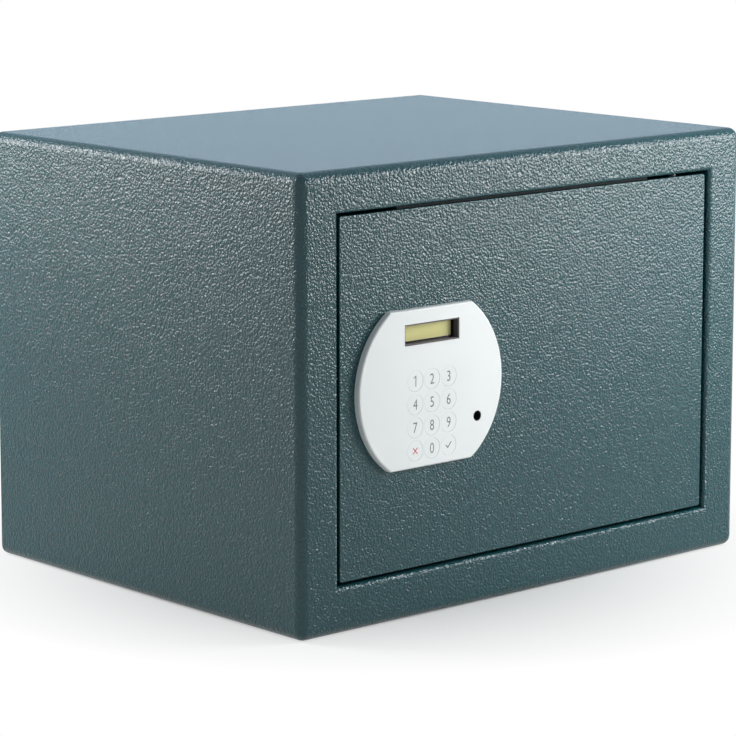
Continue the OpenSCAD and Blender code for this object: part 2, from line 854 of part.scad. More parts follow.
// Silicone mat with a dome under each key
module key_mat() color(rubber) {
    dome_r = 3.2;
    margin = 0.8;
    mat_half_w = key_pitch_x + key_d / 2 + margin;
    slab(board_front - mat_sheet_t, board_front)
        translate([pad_x - mat_half_w, pad_z + key_z(3) - key_d / 2 - margin])
            square([2 * mat_half_w, 3 * key_pitch_z + key_d + 2 * margin]);
    for (c = key_columns, r = key_rows)
        rod_y(pad_x + key_x(c), pad_z + key_z(r), dome_r, mat_top, board_front - mat_sheet_t + 0.1);
}

// Circuit board of the keypad, close inside the housing
module keypad_board() color(green)
    slab(board_front, board_front + board_t)
        translate([pad_x, base_z])
            square([base_w - 2 * base_wall - board_play, base_h - 2 * base_wall - board_play], center = true);

// Dark frame that lines the window
module display_frame() color(dark)
    slab(pad_front + frame_sink, pad_back)
        translate([pad_x, pad_z + window_rise])
            difference() {
                square([window_w - 2 * window_fit, window_h - 2 * window_fit], center = true);
                square([window_w - 2 * window_wall, window_h - 2 * window_wall], center = true);
            }

// Black mask around the readable field
module display_mask() color([0.05, 0.05, 0.06])
    slab(pad_back, pad_back + mask_t)
        translate([pad_x, pad_z + window_rise])
            difference() {
                square([window_w + display_margin, window_h + display_margin], center = true);
                translate([0, field_shift])
                    square([field_w, field_h], center = true);
            }

// Display with its olive field, on the keypad's board
module display_module() color([0.66, 0.65, 0.36])
    slab(pad_back + mask_t, pad_back + mask_t + display_t)
        translate([pad_x, pad_z + window_rise])
            square([window_w + display_margin, window_h + display_margin], center = true);

// Round socket for service power, open to the front
module service_socket() color(dark)
    difference() {
        rod_y(pad_x + socket_x, pad_z - socket_drop, socket_d / 2, pad_back, pad_back + socket_depth + 2);
        rod_y(pad_x + socket_x, pad_z - socket_drop, socket_bore_d / 2, pad_back - 1, pad_back + socket_depth);
    }

// One key: a round cap with a lip behind the plate
module key_cap(column, row) color(white) {
    x = pad_x + key_x(column);
    z = pad_z + key_z(row);
    rod_y(x, z, key_d / 2, pad_front, key_head_back);
    rod_y(x, z, key_d / 2 + key_lip, key_head_back, key_back);
}

// ---- Lock ----

// Chassis sheet with the flange that guides the bolts
module lock_chassis() color(zinc)
    difference() {
        union() {
            block(chassis_x0, chassis_x1, chassis_front, chassis_back, chassis_z0, chassis_z0 + chassis_h);
            block(chassis_x0, chassis_x0 + chassis_t, chassis_front, bolt_d + bolt_r + 4,
                  chassis_z0, chassis_z0 + chassis_h);
        }
        for (z = bolt_zs)
            rod_x(bolt_d, z, bolt_r + bolt_fit, chassis_x0 - 1, chassis_x0 + chassis_t + 1);
        for (x = post_xs, z = post_zs)
            rod_y(x, z, screw_r + screw_play, chassis_front - 1, chassis_back + 1);
        rod_y(pinion_x, pinion_z, shaft_r + 0.1, chassis_front - 1, chassis_back + 1);
        block(cable_x0 - 1, cable_x0 + 4, chassis_front - 1, chassis_back + 1, cable_z0 - 1, cable_z1 + 1);
    }

// Four spacers between door plate and chassis
module chassis_spacers() color(zinc)
    for (x = post_xs, z = post_zs)
        difference() {
            rod_y(x, z, spacer_r, door_back, chassis_front);
            rod_y(x, z, screw_r + screw_play, door_back - 1, chassis_front + 1);
        }

// Four posts that carry the cover
module cover_posts() color(zinc)
    for (x = post_xs, z = post_zs)
        difference() {
            rod_y(x, z, post_r, chassis_back, cover_inner);
            rod_y(x, z, screw_r + thread_fit, cover_inner - cover_screw_reach - 2, cover_inner + 1);
        }

// Two white guide blocks for the bolts
module bolt_guides() color(white)
    for (z = bolt_zs)
        difference() {
            block(guide_x0, guide_x0 + guide_len, chassis_back, bolt_d + bolt_r + 3,
                  z - bolt_r - 3, z + bolt_r + 3);
            rod_x(bolt_d, z, bolt_r + bolt_fit, guide_x0 - 1, guide_x0 + guide_len + 1);
        }

// Upright that carries both bolts, with slotted feet on the chassis
module bolt_carriage() color(zinc)
    difference() {
        union() {
            block(bolt_end_x, foot_x0, chassis_back + slide_gap, bolt_d + bolt_r + 2,
                  door_mid_z - carriage_h / 2, door_mid_z + carriage_h / 2);
            for (side = [-1, 1]) {
                foot_z = door_mid_z + side * (carriage_h - foot_h) / 2;
                block(bolt_end_x, foot_x0 + foot_w, chassis_back + slide_gap, chassis_back + slide_gap + foot_t,
                      foot_z - foot_h / 2, foot_z + foot_h / 2);
            }
        }
        for (z = bolt_zs)
            rod_x(bolt_d, z, bolt_screw_r + screw_play, bolt_end_x - 1, foot_x0 + 1);
        for (z = bolt_zs)
            slab(chassis_back, chassis_back + slide_gap + foot_t + 1) {
                translate([shoulder_x - bolt_throw, z])
                    circle(shoulder_r + shoulder_fit);
                translate([shoulder_x, z])
                    circle(shoulder_r + shoulder_fit);
                translate([shoulder_x - bolt_throw, z - shoulder_r - shoulder_fit])
                    square([bolt_throw, 2 * (shoulder_r + shoulder_fit)]);
            }
    }

// Round bolt with a tapped end and a chamfered tip
module bolt(z) color(bright)
    difference() {
        union() {
            rod_x(bolt_d, z, bolt_r, bolt_tip_x + bolt_nose, bolt_end_x);
            translate([bolt_tip_x, front_y + bolt_d, z])
                rotate([0, 90, 0])
                    cylinder(r1 = bolt_r - bolt_nose, r2 = bolt_r, h = bolt_nose);
        }
        rod_x(bolt_d, z, bolt_screw_r + thread_fit, bolt_end_x - bolt_screw_len - 1, bolt_end_x + 1);
    }

module bolt_upper() bolt(bolt_zs[1]);

module bolt_lower() bolt(bolt_zs[0]);

// Two hexagon screws that hold the bolts on the carriage
module bolt_screws() color(zinc)
    for (z = bolt_zs) {
        rod_x(bolt_d, z, bolt_screw_r, bolt_end_x - bolt_screw_len, foot_x0 + 0.1);
        translate([foot_x0, front_y + bolt_d, z])
            rotate([0, 90, 0])
                cylinder(r = bolt_screw_head_r, h = bolt_screw_head_h, $fn = 6);
    }

// Two shoulder screws that hold the carriage's feet on the chassis
module shoulder_screws() color(bright)
    for (z = bolt_zs) {
        rod_y(shoulder_x - bolt_throw, z, shoulder_r, chassis_back, shoulder_head_d);
        rod_y(shoulder_x - bolt_throw, z, shoulder_head_r, shoulder_head_d, shoulder_head_d + shoulder_head_t);
    }

// Rack on the carriage, teeth upwards
module drive_rack() color(brass) {
    step = PI * tooth_module;
    half_root = step / 4 + tooth_depth * tan(flank_angle) - tooth_play / 4;
    half_tip = step / 4 - tooth_reach * tan(flank_angle) - tooth_play / 4;
    count = floor((rack_len - 8) / step / 2);
    teeth = [for (i = [-count : count])
        let (x = pinion_x + i * step)
        for (p = [[x - half_root, rack_root_z], [x - half_tip, rack_pitch_z + tooth_reach],
                  [x + half_tip, rack_pitch_z + tooth_reach], [x + half_root, rack_root_z]]) p];
    slab(rack_front, rack_front + rack_t)
        polygon(concat([[foot_x0, rack_root_z - rack_bar_h], [foot_x0, rack_root_z]], teeth,
                       [[foot_x0 + rack_len, rack_root_z], [foot_x0 + rack_len, rack_root_z - rack_bar_h]]));
}

// Angle on the chassis that keeps the rack in mesh
module rack_guide() color(zinc) {
    half_w = 9;
    leg_t = 2;
    lip_h = 4;
    guide_top = rack_root_z - rack_bar_h - slide_gap;
    lip_front = rack_front + rack_t + slide_gap;
    block(pinion_x - half_w, pinion_x + half_w, chassis_back, lip_front + lip_t, guide_top - leg_t, guide_top);
    block(pinion_x - half_w, pinion_x + half_w, lip_front, lip_front + lip_t,
          guide_top - leg_t, guide_top + lip_h);
}

// Flank of a pinion tooth: an involute from the base circle to the tip
function flank(rb, r_tip, turn, steps) =
    [for (i = [0 : steps])
        let (r = rb + (r_tip - rb) * i / steps,
             roll = sqrt(max(0, r * r / (rb * rb) - 1)),
             a = turn + roll * 180 / PI - atan(roll))
        [r * cos(a), r * sin(a)]];

// Brass pinion and its shaft, with a gap between teeth over the rack's middle tooth
module drive_pinion() color(brass) {
    rb = pitch_r * cos(flank_angle);
    r_tip = pitch_r + tooth_reach;
    r_root = pitch_r - tooth_depth;
    pitch_roll = tan(flank_angle) * 180 / PI - flank_angle;
    half_tooth = 90 / pinion_teeth - tooth_play / pitch_r * 45 / PI;
    rise = flank(rb, r_tip, -half_tooth - pitch_roll, 5);
    fall = [for (i = [len(rise) - 1 : -1 : 0]) [rise[i][0], -rise[i][1]]];
    slab(pinion_front, pinion_front + pinion_t)
        translate([pinion_x, pinion_z]) {
            circle(r_root);
            for (i = [0 : pinion_teeth - 1])
                rotate(-90 + 360 / pinion_teeth * (i + 0.5))
                    polygon(concat([[r_root * 0.8 * cos(half_tooth), -r_root * 0.8 * sin(half_tooth)]],
                                   rise, fall,
                                   [[r_root * 0.8 * cos(half_tooth), r_root * 0.8 * sin(half_tooth)]]));
        }
    rod_y(pinion_x, pinion_z, shaft_r, chassis_front + 0.5, platform_back + shaft_reach);
}

// Bent bracket that holds the gearbox over the rack
module motor_bracket() color(zinc)
    difference() {
        union() {
            block(pinion_x - bracket_half_w, pinion_x + bracket_half_w, platform_front, platform_back,
                  bracket_low_z, bracket_high_z);
            block(pinion_x - bracket_half_w, pinion_x + bracket_half_w, chassis_back, platform_back,
                  bracket_low_z, bracket_low_z + motor_bracket_t);
            block(pinion_x - bracket_half_w, pinion_x + bracket_half_w, chassis_back, platform_back,
                  bracket_high_z - motor_bracket_t, bracket_high_z);
        }
        rod_y(pinion_x, pinion_z, shaft_r + 1, platform_front - 1, platform_back + 1);
    }

// Gearbox block with the bearing of the pinion's shaft
module gearbox() color(dark)
    difference() {
        block(pinion_x - gearbox_w / 2, pinion_x + gearbox_w / 2, platform_back, gearbox_back,
              bracket_low_z + 4, motor_z0);
        rod_y(pinion_x, pinion_z, shaft_r + shaft_fit, platform_back - 1, platform_back + shaft_reach + 0.5);
    }

// Small motor on the gearbox
module motor() color(bright) {
    boss_r = 2.5;
    rod_z(pinion_x, motor_d, motor_r, motor_z0, motor_z0 + motor_len);
    rod_z(pinion_x, motor_d, boss_r, motor_z0 + motor_len, motor_z0 + motor_len + boss_h);
}

// Control board on four pegs, with its larger components and the reset switch
module control_board() color(green) {
    peg_r = 2.5;
    peg_edge = 4;
    peg_left = 20;
    switch_half = 3;
    chip = [14, 3, 10];
    chip_inset = 30;
    chip_x = control_x0 + chip_inset;
    relay = [16, 8, 12];
    relay_inset = 52;
    relay_x = control_x0 + relay_inset;
    board_back = control_front + board_t;
    block(control_x0, control_x0 + control_w, control_front, board_back, control_z0, control_z0 + control_h);
    for (x = [control_x0 + peg_left, control_x0 + control_w - peg_edge],
         z = [control_z0 + peg_edge, control_z0 + control_h - peg_edge])
        rod_y(x, z, peg_r, chassis_back, control_front);
    block(reset_x - switch_half, reset_x + switch_half, board_back, board_back + switch_h,
          reset_z - switch_half, reset_z + switch_half);
    block(chip_x, chip_x + chip[0], board_back, board_back + chip[1],
          reset_z - chip[2] / 2, reset_z + chip[2] / 2);
    block(relay_x, relay_x + relay[0], board_back, board_back + relay[1],
          reset_z - relay[2] / 2, reset_z + relay[2] / 2);
}

// Flat cable from the keypad's housing through the chassis to the control board
module ribbon_cable() color(rubber) {
    keypad_end = pad_back + base_d;
    lie_d = chassis_back + 0.6;
    board_x = control_x0 + 12;
    translate([0, front_y, cable_z0])
        linear_extrude(cable_z1 - cable_z0)
            polygon([[cable_x0, keypad_end], [cable_x0 + cable_t, keypad_end],
                     [cable_x0 + cable_t, lie_d], [board_x, lie_d], [board_x, control_front],
                     [board_x - cable_t, control_front], [board_x - cable_t, lie_d + cable_t],
                     [cable_x0, lie_d + cable_t]]);
}

// Motor lead to the control board
module motor_lead() color("firebrick") {
    top_z = motor_z0 + motor_len + boss_h;
    start = [pinion_x, front_y + motor_d, top_z];
    goal = [control_x0 + 3, front_y + control_front + board_t, control_z0 + control_h - 8];
    swept_tube([start, start + [0, 0, 2], start + [1, -0.5, 4], start + [4, -1, 6.5], start + [8, -1.5, 7.5],
                goal + [-7, 5.5, 4], goal + [-3, 5, 2.5], goal + [-0.8, 4, 0.8], goal + [0, 2, 0], goal],
               lead_r, 6);
}

// Open tray for four batteries, on four legs
module battery_holder() color(dark) {
    leg_r = 3;
    leg_edge = 5;
    difference() {
        block(holder_x0, holder_x0 + holder_w, holder_front, cover_inner - holder_low,
              holder_z0, holder_z0 + holder_h);
        block(holder_x0 + holder_wall, holder_x0 + holder_w - holder_wall, holder_front + holder_wall,
              cover_back, holder_z0 + holder_wall, holder_z0 + holder_h - holder_wall);
    }
    for (x = [holder_x0 + leg_edge, holder_x0 + holder_w - leg_edge],
         z = [holder_z0 + leg_edge, holder_z0 + holder_h - leg_edge])
        rod_y(x, z, leg_r, chassis_back, holder_front + 0.5);
}

// Four round batteries, in turn head up and head down
module batteries() color([0.20, 0.34, 0.30])
    for (i = [0 : cells - 1]) {
        nub_r = 2.6;
        nub_h = 1.5;
        x = holder_x0 + holder_wall + cell_pitch * (i + 0.5);
        z0 = holder_z0 + holder_wall + cell_room / 2;
        up = i % 2;
        rod_z(x, cell_depth, cell_d / 2, z0 + nub_h * (1 - up), z0 + cell_len - nub_h * up);
        rod_z(x, cell_depth, nub_r, up > 0 ? z0 + cell_len - nub_h - 0.1 : z0,
              up > 0 ? z0 + cell_len : z0 + nub_h + 0.1);
    }

// Cover over the lock, open towards the door plate, with the battery lid's track
module lock_cover() color(dark)
    difference() {
        block(cover_x0, cover_x1, door_back, cover_back, cover_z0, cover_z0 + cover_h);
        block(cover_x0 + cover_wall, cover_x1 - cover_wall, door_back - 1, cover_inner,
              cover_z0 + cover_wall, cover_z0 + cover_h - cover_wall);
        for (z = bolt_zs)
            rod_x(bolt_d, z, bolt_r + 0.5, cover_x0 - 1, cover_x0 + cover_wall + 1);
        block(lid_x0 - lid_gap, cover_x1 + 1, cover_back - lid_outer_t, cover_back + 1,
              door_mid_z - lid_h / 2 - lid_gap, door_mid_z + lid_h / 2 + lid_gap);
        block(lid_x0 - lid_gap, cover_x1 + 1, cover_inner - 0.05, cover_back - lid_outer_t + 0.01,
              door_mid_z - lid_h / 2 - lid_gap - lid_lip, door_mid_z + lid_h / 2 + lid_gap + lid_lip);
        for (x = post_xs, z = post_zs)
            rod_y(x, z, screw_r + screw_play, cover_inner - 1, cover_back + 1);
        rod_y(reset_x, reset_z, reset_r + 0.3, cover_inner - 1, cover_back + 1);
    }

// Four screws through the cover into its posts
module cover_screws() color(bright)
    for (x = post_xs, z = post_zs) {
        rod_y(x, z, screw_r, cover_inner - cover_screw_reach, cover_back + 0.1);
        rod_y(x, z, screw_head_r, cover_back, cover_back + screw_head_t);
    }

// Battery lid: a flush plate with a lip that runs in the cover's track
module battery_lid() color(rubber)
    difference() {
        union() {
            block(lid_x0, cover_x1, cover_back - lid_outer_t - lid_play, cover_back,
                  door_mid_z - lid_h / 2, door_mid_z + lid_h / 2);
            block(lid_x0, cover_x1, cover_inner + lid_play, cover_back - lid_outer_t - lid_play,
                  door_mid_z - lid_h / 2 - lid_lip, door_mid_z + lid_h / 2 + lid_lip);
        }
        for (i = [0 : 3])
            block(grip_x + grip_pitch * i, grip_x + grip_pitch * i + grip_w, cover_back - grip_depth,
                  cover_back + 1, door_mid_z - grip_h / 2, door_mid_z + grip_h / 2);
    }

// Red reset button over its switch
module reset_button() color("firebrick") {
    collar = 1.5;
    rod_y(reset_x, reset_z, reset_r, reset_front + collar, cover_back + reset_travel + 0.5);
    rod_y(reset_x, reset_z, reset_r + collar, reset_front, reset_front + collar);
}

body_shell();
back_panel();
floor_mat();
door_stops();
door_buffers();
hinge_bracket_upper();
hinge_bracket_lower();
hinge_washer();
door_plate();
door_rib();
hinge_lug_upper();
hinge_lug_lower();
hinge_pin_upper();
hinge_pin_lower();
door_spring();
keypad_plate();
keypad_screws();
keypad_housing();
key_mat();
keypad_board();
display_frame();
display_mask();
display_module();
service_socket();
key_cap(-1, 0);  // key_1
key_cap(0, 0);  // key_2
key_cap(1, 0);  // key_3
key_cap(-1, 1);  // key_4
key_cap(0, 1);  // key_5
key_cap(1, 1);  // key_6
key_cap(-1, 2);  // key_7
key_cap(0, 2);  // key_8
key_cap(1, 2);  // key_9
key_cap(-1, 3);  // key_clear
key_cap(0, 3);  // key_0
key_cap(1, 3);  // key_enter
lock_chassis();
chassis_spacers();
cover_posts();
bolt_guides();
bolt_carriage();
bolt_upper();
bolt_lower();
bolt_screws();
shoulder_screws();
drive_rack();
rack_guide();
drive_pinion();
motor_bracket();
gearbox();
motor();
control_board();
ribbon_cable();
motor_lead();
battery_holder();
batteries();
lock_cover();
cover_screws();
battery_lid();
reset_button();
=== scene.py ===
import bmesh
import bpy
import math
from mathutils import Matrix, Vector


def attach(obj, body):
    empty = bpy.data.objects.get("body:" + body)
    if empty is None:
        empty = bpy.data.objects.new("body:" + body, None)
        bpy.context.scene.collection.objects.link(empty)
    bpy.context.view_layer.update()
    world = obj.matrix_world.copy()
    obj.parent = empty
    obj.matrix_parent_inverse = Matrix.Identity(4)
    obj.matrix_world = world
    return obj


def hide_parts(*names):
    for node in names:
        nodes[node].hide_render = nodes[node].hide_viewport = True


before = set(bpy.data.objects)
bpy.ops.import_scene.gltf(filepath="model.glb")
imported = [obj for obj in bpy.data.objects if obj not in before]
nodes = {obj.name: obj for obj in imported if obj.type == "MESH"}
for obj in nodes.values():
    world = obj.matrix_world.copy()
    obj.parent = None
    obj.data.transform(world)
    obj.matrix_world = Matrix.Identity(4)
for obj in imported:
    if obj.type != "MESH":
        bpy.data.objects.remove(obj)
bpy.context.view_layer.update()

# ---- Camera ----
# The photograph's camera: a long lens, a little above the safe and to its left.
# Its vertical shift stands for the photograph's crop.
MM = 0.001
CAMERA_TURN = math.radians(-41.846)
CAMERA_TILT = math.radians(9.325)
CAMERA_DISTANCE = 1949.63 * MM
CAMERA_ASIDE = -1.38 * MM
CAMERA_RAISE = 19.134 * MM
CAMERA_CENTRE = Vector((0, 1.5, 128.5)) * MM
IMAGE_SIDE = 736
SENSOR_WIDTH = 36
FOCAL_PIXELS = 3228.377
PRINCIPAL_ROW = 310

to_camera = Vector((math.sin(CAMERA_TURN) * math.cos(CAMERA_TILT),
                    -math.cos(CAMERA_TURN) * math.cos(CAMERA_TILT),
                    math.sin(CAMERA_TILT)))
camera_right = Vector((math.cos(CAMERA_TURN), math.sin(CAMERA_TURN), 0))
camera_up = to_camera.cross(camera_right)
bpy.ops.object.select_all(action="DESELECT")
bpy.ops.object.camera_add(
    location=(CAMERA_CENTRE + camera_right * CAMERA_ASIDE + camera_up * CAMERA_RAISE
              + to_camera * CAMERA_DISTANCE),
    rotation=(math.pi / 2 - CAMERA_TILT, 0, CAMERA_TURN))
camera = bpy.context.object
camera.name = "camera"
camera.data.sensor_width = SENSOR_WIDTH
camera.data.lens = FOCAL_PIXELS / IMAGE_SIDE * SENSOR_WIDTH
camera.data.shift_y = (PRINCIPAL_ROW - IMAGE_SIDE / 2) / IMAGE_SIDE
bpy.context.scene.camera = camera
bpy.context.scene.view_settings.view_transform = "Standard"


# ---- Studio ----
# A white seamless floor and a surround that is white at the horizon and pale blue above it.
# A large soft lamp hangs over the front, and small ones make the coating glitter on front, left and top.
def linear(hex_colour):
    """An sRGB hex colour as a linear one."""
    parts = [int(hex_colour[i:i + 2], 16) / 255 for i in (1, 3, 5)]
    return [c / 12.92 if c <= 0.04045 else ((c + 0.055) / 1.055) ** 2.4 for c in parts] + [1]


def add_node(material, kind, inputs=None, **settings):
    """Adds a shader node. Each input, by name or number, is a value, a colour or another node's output."""
    made = material.node_tree.nodes.new("ShaderNode" + kind)
    for name, value in settings.items():
        setattr(made, name, value)
    for name, value in (inputs or {}).items():
        if isinstance(value, bpy.types.NodeSocket):
            material.node_tree.links.new(value, made.inputs[name])
        else:
            made.inputs[name].default_value = value
    return made


def new_material(name):
    """An empty node material; its surface is linked by the section that makes it."""
    material = bpy.data.materials.new(name)
    material.use_nodes = True
    material.node_tree.nodes.clear()
    return material


def link_surface(material, shader):
    """Makes a shader the surface of a material."""
    output = add_node(material, "OutputMaterial")
    material.node_tree.links.new(shader.outputs[0], output.inputs["Surface"])


def add_seen(material):
    """One for a ray from the camera, or from a glossy or a clear surface, and otherwise zero."""
    ray = add_node(material, "LightPath")
    seen = add_node(material, "Math", {0: ray.outputs["Is Camera Ray"], 1: ray.outputs["Is Glossy Ray"]},
                    operation="MAXIMUM")
    return add_node(material, "Math", {0: seen.outputs[0], 1: ray.outputs["Is Transmission Ray"]},
                    operation="MAXIMUM")


# The floor is plain paper near the safe, where its shadow lies, and pure white around it
FLOOR_HALF = 6.0
SHADE_REACH, WHITE_FROM = 0.12, 0.28
floor_paper = new_material("floor_paper")
paper = add_node(floor_paper, "BsdfDiffuse", {"Color": linear("#EDEDED")})
away = add_node(floor_paper, "VectorMath", {0: add_node(floor_paper, "TexCoord").outputs["Object"]},
                operation="LENGTH")
away = add_node(floor_paper, "MapRange", {"Value": away.outputs["Value"], "From Min": SHADE_REACH,
                                          "From Max": WHITE_FROM})
seen = add_seen(floor_paper)
seen = add_node(floor_paper, "Math", {0: seen.outputs[0], 1: away.outputs[0]}, operation="MULTIPLY")
lift = add_node(floor_paper, "Emission", {"Color": linear("#FFFFFF"), "Strength": 1.0})
link_surface(floor_paper, add_node(floor_paper, "MixShader", {0: seen.outputs[0], 1: paper.outputs[0],
                                                              2: lift.outputs[0]}))
bpy.ops.mesh.primitive_plane_add(size=2 * FLOOR_HALF, location=(0, 0, 0))
floor = bpy.context.object
floor.name = "studio_floor"
floor.data.materials.append(floor_paper)

# The surround lights the safe dimly, and is bright where the camera, gloss or clear surfaces see it
SURROUND_LEVEL, SKY_FROM = 0.3, 0.05
world = bpy.data.worlds.new("studio_surround")
bpy.context.scene.world = world
world.use_nodes = True
world.node_tree.nodes.clear()
seen = add_seen(world)
dim = add_node(world, "Background", {"Color": linear("#F2F5F7"), "Strength": SURROUND_LEVEL})
height = add_node(world, "SeparateXYZ", {0: add_node(world, "TexCoord").outputs["Generated"]})
height = add_node(world, "MapRange", {"Value": height.outputs["Z"], "From Min": 0.0, "From Max": SKY_FROM})
shade = add_node(world, "Mix", {"Factor": height.outputs[0], 6: linear("#FFFFFF"), 7: linear("#D2EDFF")},
                 data_type="RGBA")
white = add_node(world, "Background", {"Color": shade.outputs[2], "Strength": 1.0})
mixed = add_node(world, "MixShader", {0: seen.outputs[0], 1: dim.outputs[0], 2: white.outputs[0]})
output = add_node(world, "OutputWorld")
world.node_tree.links.new(mixed.outputs[0], output.inputs["Surface"])


def add_lamp(name, place, size, power, colour="#FFFFFF", mirrored=True):
    """A square soft lamp that faces the safe's middle, and shows in glossy surfaces where it is mirrored."""
    bpy.ops.object.light_add(type="AREA", location=place)
    lamp = bpy.context.object
    lamp.name = name
    lamp.data.shape = "SQUARE"
    lamp.data.size = size
    lamp.data.energy = power
    lamp.data.color = linear(colour)[:3]
    lamp.visible_camera = False
    lamp.visible_glossy = mirrored
    lamp.rotation_euler = (CAMERA_CENTRE - Vector(place)).to_track_quat("-Z", "Y").to_euler()


add_lamp("key_softbox", (-0.25, -1.8, 1.6), 1.0, 4.0, mirrored=False)
add_lamp("front_softbox", (0.47, -0.50, 0.33), 0.3, 4.6)
add_lamp("side_softbox", (-0.48, 0.47, 0.38), 0.3, 4.0)
add_lamp("top_softbox", (0.9, 1.05, 0.55), 0.8, 0.38, "#B8DEFF")


# ---- Casing ----
# Folded and welded 2 mm steel sheet: top, sides, floor, front frame and its return flange are one piece.
# It is powder coated with a dark teal-grey leather texture, whose small bumps glitter under the lamps.

# In millimetres: how near counts as touching, how far cutters reach past a face, and how long drills are.
# A face that faces along an axis has at least FACING of its normal there.
NEAR, MARGIN, DRILL = 0.01, 1, 12
FACING = 0.999


def add_block(name, low, high):
    """A block between two corners in millimetres, as the start of a piece."""
    bpy.ops.object.select_all(action="DESELECT")
    low, high = Vector(low) * MM, Vector(high) * MM
    bpy.ops.mesh.primitive_cube_add(size=1, location=(low + high) / 2)
    made = bpy.context.object
    made.name = made.data.name = name
    made.scale = high - low
    bpy.ops.object.transform_apply(location=True, rotation=True, scale=True)
    return made


def add_rod(name, axis, centre, radius, length, sides=48):
    """A round bar in millimetres along one axis, from centre - length / 2 to centre + length / 2."""
    bpy.ops.object.select_all(action="DESELECT")
    turn = {"x": (0, math.pi / 2, 0), "y": (math.pi / 2, 0, 0), "z": (0, 0, 0)}[axis]
    bpy.ops.mesh.primitive_cylinder_add(vertices=sides, radius=radius * MM, depth=length * MM,
                                        location=Vector(centre) * MM, rotation=turn)
    made = bpy.context.object
    made.name = made.data.name = name
    bpy.ops.object.transform_apply(location=True, rotation=True, scale=True)
    return made


def select(piece, kind, test):
    """Opens the piece in edit mode and selects the points, edges or faces that pass a test."""
    bpy.context.view_layer.objects.active = piece
    if bpy.context.mode != "EDIT_MESH":
        bpy.ops.object.select_all(action="DESELECT")
        piece.select_set(True)
        bpy.ops.object.mode_set(mode="EDIT")
    bpy.ops.mesh.select_mode(type=kind)
    bpy.ops.mesh.select_all(action="DESELECT")
    shape = bmesh.from_edit_mesh(piece.data)
    for item in {"VERT": shape.verts, "EDGE": shape.edges, "FACE": shape.faces}[kind]:
        item.select_set(bool(test(item)))
    bmesh.update_edit_mesh(piece.data)


def done_editing():
    """Leaves edit mode."""
    bpy.ops.object.mode_set(mode="OBJECT")


def middle(item):
    """The middle of an edge or a face, in millimetres."""
    points = [v.co for v in item.verts]
    return sum(points, Vector()) / len(points) / MM


def runs_back(edge):
    """Tells whether an edge runs from front to back."""
    return abs((edge.verts[0].co - edge.verts[1].co).y) > MARGIN * MM


def apply_modifier(piece, kind, **settings):
    """Adds a modifier with its settings and applies it."""
    bpy.ops.object.select_all(action="DESELECT")
    piece.select_set(True)
    bpy.context.view_layer.objects.active = piece
    modifier = piece.modifiers.new(kind.lower(), kind)
    for name, value in settings.items():
        setattr(modifier, name, value)
    bpy.ops.object.modifier_apply(modifier=modifier.name)


def cut(piece, *cutters):
    """Cuts shapes out of a piece and removes them."""
    for cutter in cutters:
        apply_modifier(piece, "BOOLEAN", object=cutter, operation="DIFFERENCE", solver="EXACT")
        bpy.data.objects.remove(cutter)


def round_edges(piece, width, segments=2, angle=30):
    """Rounds the sharp edges of a piece by a width in millimetres."""
    apply_modifier(piece, "BEVEL", width=width * MM, segments=segments, limit_method="ANGLE",
                   angle_limit=math.radians(angle), use_clamp_overlap=True)


def finish_piece(piece, material, slot, body, *replaced, smooth=30):
    """Smooths a piece, gives it its material, hides the CAD nodes it replaces and hangs it on the body it
    moves with.
    """
    bpy.ops.object.select_all(action="DESELECT")
    piece.select_set(True)
    bpy.context.view_layer.objects.active = piece
    bpy.ops.object.shade_smooth_by_angle(angle=math.radians(smooth))
    apply_modifier(piece, "WEIGHTED_NORMAL", keep_sharp=True)
    piece.data.materials.clear()
    piece.data.materials.append(material)
    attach(piece, body)
    if replaced:
        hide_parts(*replaced)


def coat(material, *names):
    """Gives CAD nodes a material."""
    for name in names:
        mesh = nodes[name].data
        mesh.materials.clear()
        mesh.materials.append(material)


def add_ramp(material, factor, low, low_colour, high, high_colour):
    """A colour that changes from one hex value to another between two levels of a pattern."""
    ramp = add_node(material, "ValToRGB", {0: factor})
    for element, level, colour in zip(ramp.color_ramp.elements, (low, high), (low_colour, high_colour)):
        element.position = level
        element.color = linear(colour)
    return ramp


# Powder coat with a leather texture: rounded, glossy bumps 1.4 mm apart that glitter, slightly mottled
BUMP_MM, BUMP_DEEP = 1.4, 0.42
powder_coat = new_material("leather_texture_powder_coat")
place = add_node(powder_coat, "TexCoord").outputs["Object"]
grain = add_node(powder_coat, "TexNoise", {"Vector": place, "Scale": 1 / (BUMP_MM * MM), "Detail": 2.5,
                                           "Roughness": 0.55, "Distortion": 0.6})
cells = add_node(powder_coat, "TexVoronoi", {"Vector": place, "Scale": 1 / (BUMP_MM * MM), "Smoothness": 0.6},
                 feature="SMOOTH_F1")
height = add_node(powder_coat, "Math", {0: grain.outputs[0], 1: cells.outputs["Distance"]},
                  operation="SUBTRACT")
mottle = add_ramp(powder_coat, grain.outputs[0], 0.35, "#113A3F", 0.68, "#19474C")
bump = add_node(powder_coat, "Bump", {"Height": height.outputs[0], "Strength": 1.0,
                                      "Distance": BUMP_DEEP * MM})
link_surface(powder_coat, add_node(powder_coat, "BsdfPrincipled", {
    "Base Color": mottle.outputs[0], "Roughness": 0.2, "IOR": 1.46,
    "Normal": bump.outputs[0]}))

HALF_W, HEIGHT = 175, 257
FRONT, BACK = -137.5, 140.5
BEND_R, SHEET, FRAME_INSET = 6, 2, 20
OPEN_HALF, OPEN_LOW, OPEN_HIGH = 147.5, 27, 233
RIM_R, FLANGE = 3, 19
FLOOR_HOLE_X, FLOOR_HOLE_Y, ANCHOR_R = 100, 30.5, 5.5

